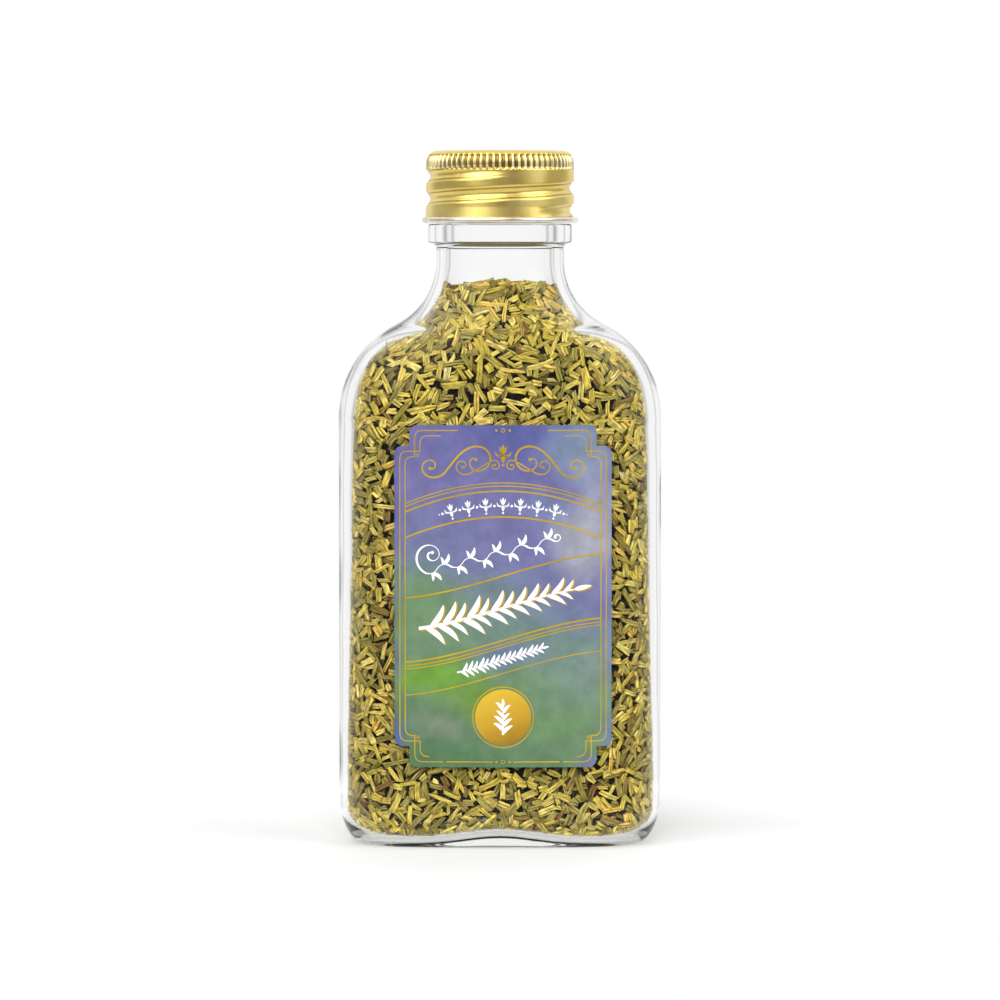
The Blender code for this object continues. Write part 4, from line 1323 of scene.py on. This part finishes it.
class Ink:
    """Collects printed strokes and shapes, and makes one piece of them."""

    def __init__(self, proud=0.0):
        self.points = []
        self.faces = []
        self.count = 0
        self.proud = PAPER_GAP + PAPER_THICKNESS + INK_HEIGHT + proud

    def add(self, left, right):
        """A closed strip between two edges, given as equal lists of label places."""
        left, right = np.asarray(left), np.asarray(right)
        stations = len(left)
        top, under = self.proud, self.proud - INK_DEPTH
        corners = ((left, top), (right, top), (right, under), (left, under))
        rings = np.stack([on_label(*edge.T, proud) for edge, proud in corners], axis=1)
        first = self.count
        self.points.append(rings.reshape(-1, 3))
        for station in range(stations - 1):
            low = first + 4 * station
            for side in range(4):
                after = (side + 1) % 4
                self.faces.append((low + side, low + 4 + side, low + 4 + after, low + after))
        self.faces.append((first, first + 1, first + 2, first + 3))
        last = first + 4 * (stations - 1)
        self.faces.append((last + 3, last + 2, last + 1, last))
        self.count += 4 * stations

    def stroke(self, path, widths):
        """A line along a path, of one width or one for each point."""
        path = np.asarray(path, float)
        widths = np.broadcast_to(widths, len(path))
        travel = travelled(path)
        stops = np.linspace(0.0, travel[-1], math.ceil(travel[-1] / INK_STEP) + 2)
        stops = np.union1d(stops, travel)
        stops = stops[np.concatenate([[True], np.diff(stops) > INK_STEP / 50])]
        widths = np.interp(stops, travel, widths)
        path = np.column_stack([np.interp(stops, travel, path[:, 0]), np.interp(stops, travel, path[:, 1])])
        way = np.gradient(path, stops, axis=0)
        way /= np.linalg.norm(way, axis=1)[:, None]
        out = np.column_stack([-way[:, 1], way[:, 0]]) * (widths / 2)[:, None]
        self.add(path + out, path - out)

    def leaf(self, root, heading, length, width, bow=0.12):
        """A narrow pointed leaf from its root along a heading."""
        share = np.linspace(0.0, 1.0, 13)
        along = share * length
        aside = bow * length * np.sin(math.pi * share)
        x = root[0] + along * math.cos(heading) - aside * math.sin(heading)
        y = root[1] + along * math.sin(heading) + aside * math.cos(heading)
        swell = np.sin(math.pi * share**0.8) ** 0.7
        self.stroke(np.column_stack([x, y]), np.maximum(width * swell, 0.03 * MM))

    def dot(self, place, radius):
        """A small filled disc, as a strip from its bottom to its top."""
        turn = np.linspace(-math.pi / 2, math.pi / 2, 13)
        half = np.maximum(radius * np.cos(turn), 0.005 * MM)
        height = place[1] + radius * np.sin(turn)
        left, right = (np.column_stack([place[0] + side * half, height]) for side in (-1, 1))
        self.add(left, right)

    def disc(self, place, radius):
        """A large filled disc that follows the curve of the label."""
        turn = np.linspace(0.0, TURN, 97)[:-1]
        rings = []
        shares = np.linspace(0.08, 1.0, 12)
        for proud, order in ((self.proud, shares), (self.proud - INK_DEPTH, shares[::-1])):
            for share in order:
                across = place[0] + share * radius * np.cos(turn)
                height = place[1] + share * radius * np.sin(turn)
                rings.append(on_label(across, height, proud))
        points, faces = loft(rings, rings[0].mean(axis=0), rings[-1].mean(axis=0))
        self.faces.extend([self.count + point for point in face] for face in faces)
        self.points.append(points)
        self.count += len(points)

    def ring(self, place, radius, width):
        """A circle's outline."""
        turn = np.linspace(0.0, TURN, 65)
        path = np.column_stack([place[0] + radius * np.cos(turn), place[1] + radius * np.sin(turn)])
        self.stroke(path, width)

    def make(self, name, material):
        """One piece of all that was drawn."""
        points = np.concatenate(self.points)
        add_mesh(name, points, self.faces, [material], None, "flask", sharp=30)


def curl(start, heading, bends, step=0.12 * MM):
    """A path drawn by its curvature: each bend is (length, first curvature, last curvature)."""
    x, y = start
    path = [(x, y)]
    for length, first, last in bends:
        count = max(2, round(length / step))
        for i in range(count):
            heading += (first + (last - first) * (i + 0.5) / count) * length / count
            x += math.cos(heading) * length / count
            y += math.sin(heading) * length / count
            path.append((x, y))
    return np.array(path)


def mirrored(path):
    """A path's mirror image across the label's middle line."""
    return np.asarray(path) * (-1.0, 1.0)


def rounded(points, radius, steps=9):
    """A path through points with its inner corners rounded."""
    points = [np.array(point, float) for point in points]
    path = [points[0]]
    for before, here, after in zip(points, points[1:], points[2:], strict=False):
        back = (before - here) / np.linalg.norm(before - here)
        on = (after - here) / np.linalg.norm(after - here)
        for share in np.linspace(0.0, 1.0, steps):
            path.append(here + back * radius * (1 - share) ** 2 + on * radius * share**2)
    path.append(points[-1])
    return np.array(path)


def slanted(base, rise, across):
    """Height of a rule that swings up from left to right, level at both ends."""
    share = np.clip((np.asarray(across) + RULE_REACH) / (2 * RULE_REACH), 0.0, 1.0)
    return base + rise * (0.35 * share + 0.65 * share * share * (3 - 2 * share))


def arched(crown, drop, across):
    """Height of an arch: its crown less a drop that grows with the square of the distance."""
    return crown - drop * (np.asarray(across) / RULE_REACH) ** 2


def draw_frame(gold):
    """Two lines inside the edge, woven at each stepped corner, with small rings and dots."""
    x_out, x_in = HALF_WIDTH - FRAME_OUT, HALF_WIDTH - FRAME_IN
    y_out, y_in = HALF_HEIGHT - FRAME_OUT, HALF_HEIGHT - FRAME_IN
    tab_out, tab_in = x_out - NOTCH[0], x_in - NOTCH[0]
    step_out, step_in = y_out - NOTCH[1], y_in - NOTCH[1]
    for flip_x in (-1, 1):
        for flip_y in (-1, 1):
            flip = np.array([flip_x, flip_y])
            outer_end, inner_end = FRAME_TOP_ENDS if flip_y > 0 else FRAME_BOTTOM_ENDS
            paths = (
                rounded([(outer_end, y_out), (tab_out, y_out), (tab_out, step_in)], FRAME_TURN),
                rounded([(tab_out, step_in), (x_in, step_in), (x_in, 0.0)], FRAME_TURN),
                rounded([(inner_end, y_in), (tab_in, y_in), (tab_in, step_out)], FRAME_TURN),
                rounded([(tab_in, step_out), (x_out, step_out), (x_out, 0.0)], FRAME_TURN),
            )
            for path in paths:
                gold.stroke(path * flip, FINE_LINE)
            gold.ring(np.array([tab_in + 0.42 * MM, step_in + 0.3 * MM]) * flip, 0.26 * MM, 0.12 * MM)
            for node in ((tab_out, step_in), (tab_in, step_out)):
                gold.dot(np.array(node) * flip, 0.17 * MM)
        gold.stroke(np.array([(1.9 * MM, -y_out), (10.6 * MM, -y_out)]) * (flip_x, 1), FINE_LINE)
    for height in (y_out, -y_out):
        gold.ring((0.0, height), 0.33 * MM, 0.14 * MM)
        for x in (-1.25 * MM, 1.25 * MM):
            gold.dot((x, height), 0.22 * MM)


def draw_rules(gold):
    """The arches at the top and the swinging rules across the middle."""
    across = np.linspace(-RULE_REACH, RULE_REACH, 61)
    for crown, width in ARCHES:
        gold.stroke(np.column_stack([across, arched(crown * MM, ARCH_DROP, across)]), width)
    for base, width in RULES:
        gold.stroke(np.column_stack([across, slanted(base * MM, RULE_RISE, across)]), width)


# Each bend is a length in millimetres and its first and last curvature per millimetre.
GREAT_SCROLL = (
    (1.5, 2.0, 1.2), (1.6, 1.2, 0.75), (2.3, 0.75, 0.65), (3.25, 0.65, 0.32), (2.2, 0.32, 0.4),
    (2.7, 0.0, 0.0), (4.75, -0.05, -0.28), (3.9, -0.28, -0.52), (3.7, -0.43, -0.43), (2.5, -0.5, -0.77),
    (1.4, -0.9, -1.35), (0.45, -2.0, -2.0),
)  # fmt: skip
SMALL_SCROLL = (
    (0.95, 2.9, 1.8), (1.2, 1.5, 1.1), (1.6, 1.1, 0.85), (2.4, 0.8, 0.5), (1.2, 0.5, 0.42), (3.8, 0.0, 0.0),
    (1.2, -0.1, -0.8), (1.4, -1.1, -1.1), (1.2, -1.33, -1.33), (0.9, -1.75, -1.75), (0.7, -3.2, -3.2),
)  # fmt: skip


def bends_in_mm(bends):
    """Bends given in millimetres, as metres."""
    return [(length * MM, first / MM, last / MM) for length, first, last in bends]


def draw_scrolls(gold):
    """Mirrored scrolls and a small fleuron between them."""
    great = curl((-13.63 * MM, 24.0 * MM), math.radians(-43), bends_in_mm(GREAT_SCROLL))
    small = curl((-7.56 * MM, 24.2 * MM), math.radians(-37), bends_in_mm(SMALL_SCROLL))
    for path, thin, thick, end in ((great, 0.22, 0.36, 0.3), (small, 0.18, 0.22, 0.2)):
        share = np.linspace(0.0, 1.0, len(path))
        widths = (thin + (thick - thin) * np.sin(math.pi * share)) * MM
        for line in (path, mirrored(path)):
            gold.stroke(line, widths)
            gold.dot(line[0], end * MM)
            gold.dot(line[-1], end * MM)
    draw_fleuron(gold, np.array([0.0, 26.4 * MM]), math.pi / 2, 1.25)


def draw_fleuron(ink, place, up, size):
    """Three upright petals, drooping side leaves, and a drop with a bead under it."""
    petals = ((0.0, 1.65, 0.5, 0.0), (0.38, 1.5, 0.3, 0.0), (1.08, 1.4, 0.3, -0.3), (1.75, 0.85, 0.26, -0.1))
    for turn, length, width, bow in petals:
        for side in (-1, 1) if turn else (1,):
            ink.leaf(place, up + side * turn, length * size * MM, width * size * MM, bow=-side * bow)
    ink.leaf(place, up + math.pi, 1.05 * size * MM, 0.6 * size * MM, bow=0.0)
    ink.dot(place - 1.4 * size * MM * np.array([math.cos(up), math.sin(up)]), 0.2 * size * MM)


LOOK_AHEAD = 0.2 * MM  # how far on a path's heading is read


def spot_and_way(path, travel, at):
    """The point at a distance along a path, and the short way from it to just ahead."""
    here, on = (np.array([np.interp(far, travel, line) for line in path.T]) for far in (at, at + LOOK_AHEAD))
    return here, on - here


def draw_sprig(inks, stem, leaf_length, leaf_width, pitch, taper=0.35):
    """A rosemary sprig: a stem with pairs of narrow leaves, drawn in every ink at its offset."""
    travel = travelled(stem)
    stations = np.arange(0.04 * travel[-1], 0.97 * travel[-1], pitch)
    for ink, offset in inks:
        share = travel / travel[-1]
        ink.stroke(stem + offset, (0.62 - 0.4 * share) * MM * min(1.0, leaf_length / (4 * MM)))
        for number, at in enumerate(stations):
            root, way = spot_and_way(stem, travel, at)
            heading = math.atan2(way[1], way[0])
            size = 1 - taper * at / travel[-1]
            size *= 0.88 + 0.12 * math.sin(2.7 * number)
            for side in (-1, 1):
                spread = side * math.radians(50 - 14 * at / travel[-1])
                foot = root + offset + way * (side > 0) * 0.4 * pitch / LOOK_AHEAD
                ink.leaf(foot, heading + spread, leaf_length * size, leaf_width * size, bow=-0.1 * side)
        tip = stem[-1] + offset
        ink.leaf(tip, heading, leaf_length * 0.6, leaf_width * 0.7, bow=0.0)


def draw_white(white, shadow):
    """White print in the places where a label has its words: sprigs, a flourish and small ornaments."""
    plain = np.array([0.0, 0.0])
    across = np.linspace(-15.8, 13.3, 41) * MM
    stem = np.column_stack([across, slanted(-6.3 * MM, RULE_RISE, across)])
    draw_sprig(((shadow, np.array([0.3, -0.22]) * MM), (white, plain)), stem, 5.6 * MM, 1.25 * MM, 2.35 * MM)
    across = np.linspace(-8.6, 7.4, 31) * MM
    stem = np.column_stack([across, slanted(-16.0 * MM, RULE_RISE, across)])
    draw_sprig(((white, plain),), stem, 2.1 * MM, 0.62 * MM, 1.05 * MM, taper=0.1)
    for number in range(-7, 8):
        x = number * 1.62 * MM
        tilt = math.atan(-2 * ARCH_DROP * x / RULE_REACH**2)
        place = np.array([x, arched(17.0 * MM, ARCH_DROP, x)])
        if number % 2:
            white.dot(place, 0.24 * MM)
            for along in (-0.62 * MM, 0.62 * MM):
                white.dot(place + (along * math.cos(tilt), along * math.sin(tilt)), 0.12 * MM)
        else:
            draw_fleuron(white, place, math.pi / 2 + tilt, 0.95)
    draw_vine(white)


VINE_SPIRAL = ((2.2, 1.8, 1.0), (4.6, 1.0, 0.48), (7.6, 0.48, 0.28))
VINE_WAVES = 10
VINE_WAVE = 2.8
VINE_CURVATURE = 0.6


def draw_vine(white):
    """A pen-drawn vine of thick and thin strokes: a spiral, then waves that climb to the right."""
    bends = list(VINE_SPIRAL)
    for number in range(VINE_WAVES):
        way = 1 if number % 2 == 0 else -1
        bends += [(VINE_WAVE / 2, way * VINE_CURVATURE, way * VINE_CURVATURE)] * 2
    bends.append((3.4, 0.7, 2.4))
    unwound = sum(length * (first + last) / 2 for length, first, last in VINE_SPIRAL)
    heading = math.radians(14) - VINE_WAVE * VINE_CURVATURE / 2 - unwound
    path = curl((0.0, 0.0), heading, bends_in_mm(bends))
    path += (-16.2 * MM - path[:, 0].min(), 11.6 * MM - path[:, 1].max())
    way = np.gradient(path, axis=0)
    fall = -way[:, 1] / np.linalg.norm(way, axis=1)
    share = np.linspace(0.0, 1.0, len(path))
    white.stroke(path, (0.17 + 0.3 * np.clip(fall + 0.15, 0.0, 1.0)) * MM * (0.8 + 0.2 * share))
    white.dot(path[0], 0.3 * MM)
    white.dot(path[-1], 0.26 * MM)
    travel = travelled(path)
    spiral_length = sum(length for length, _, _ in VINE_SPIRAL) * MM
    for number in range(VINE_WAVES):
        at = spiral_length + (number + 0.5) * VINE_WAVE * MM
        place, way = spot_and_way(path, travel, at)
        heading = math.atan2(way[1], way[0])
        side = -1 if number % 2 == 0 else 1
        white.leaf(place, heading + side * 0.95, 2.3 * MM, 0.72 * MM, bow=-0.16 * side)
        white.leaf(place, heading + side * 1.75, 1.5 * MM, 0.5 * MM, bow=-0.12 * side)


DISC_CENTRE = (0.0, -22.7 * MM)
DISC_RADIUS = 5.25 * MM


def draw_disc(gold, white, foil):
    """The gold disc, its thin outer ring, and a small white sprig on it."""
    foil.disc(DISC_CENTRE, DISC_RADIUS)
    gold.ring(DISC_CENTRE, DISC_RADIUS + 0.45 * MM, 0.2 * MM)
    x, z = DISC_CENTRE
    stem = np.array([(x, z - 3.3 * MM), (x, z - 1.2 * MM), (x, z + 0.6 * MM), (x, z + 1.9 * MM)])
    draw_sprig(((white, np.array([0.0, 0.0])),), stem, 2.7 * MM, 0.8 * MM, 1.25 * MM, taper=0.25)


def make_label(paper, gold_ink, white_ink, foil_ink):
    """The paper, then one piece for each ink."""
    make_label_sheet(paper)
    gold = Ink()
    shadow = Ink()
    white = Ink(proud=0.014 * MM)
    foil = Ink()
    draw_frame(gold)
    draw_rules(gold)
    draw_scrolls(gold)
    draw_white(white, shadow)
    draw_disc(gold, white, foil)
    gold.make("label_gold_lines", gold_ink)
    shadow.make("label_gold_shadow", gold_ink)
    white.make("label_white_print", white_ink)
    foil.make("label_disc", foil_ink)


# ---------------------------------------------------------------- everything


def main():
    """Build the stage and every piece."""
    scene = bpy.context.scene
    scene.view_settings.view_transform = "Standard"
    make_camera()
    make_world()
    make_lights()
    make_floor()
    make_bottle(make_glass())
    bare = make_patchy("bare_aluminium", 300.0, (228, 217, 194), (250, 246, 236), 0.3, 1.0)
    make_cap(make_gold(), bare)
    make_liner(make_foam())
    make_rosemary(make_leaf_material(), make_crumb_material())
    gold_ink = make_patchy("label_gold", 140.0, (174, 143, 0), (196, 163, 10), 0.45, 0.1)
    white_ink = make_patchy("label_white", 140.0, (244, 244, 244), (252, 252, 252), 0.5, 0.0)
    make_label(make_label_paper(), gold_ink, white_ink, make_disc_foil(LABEL_Z + DISC_CENTRE[1]))


main()
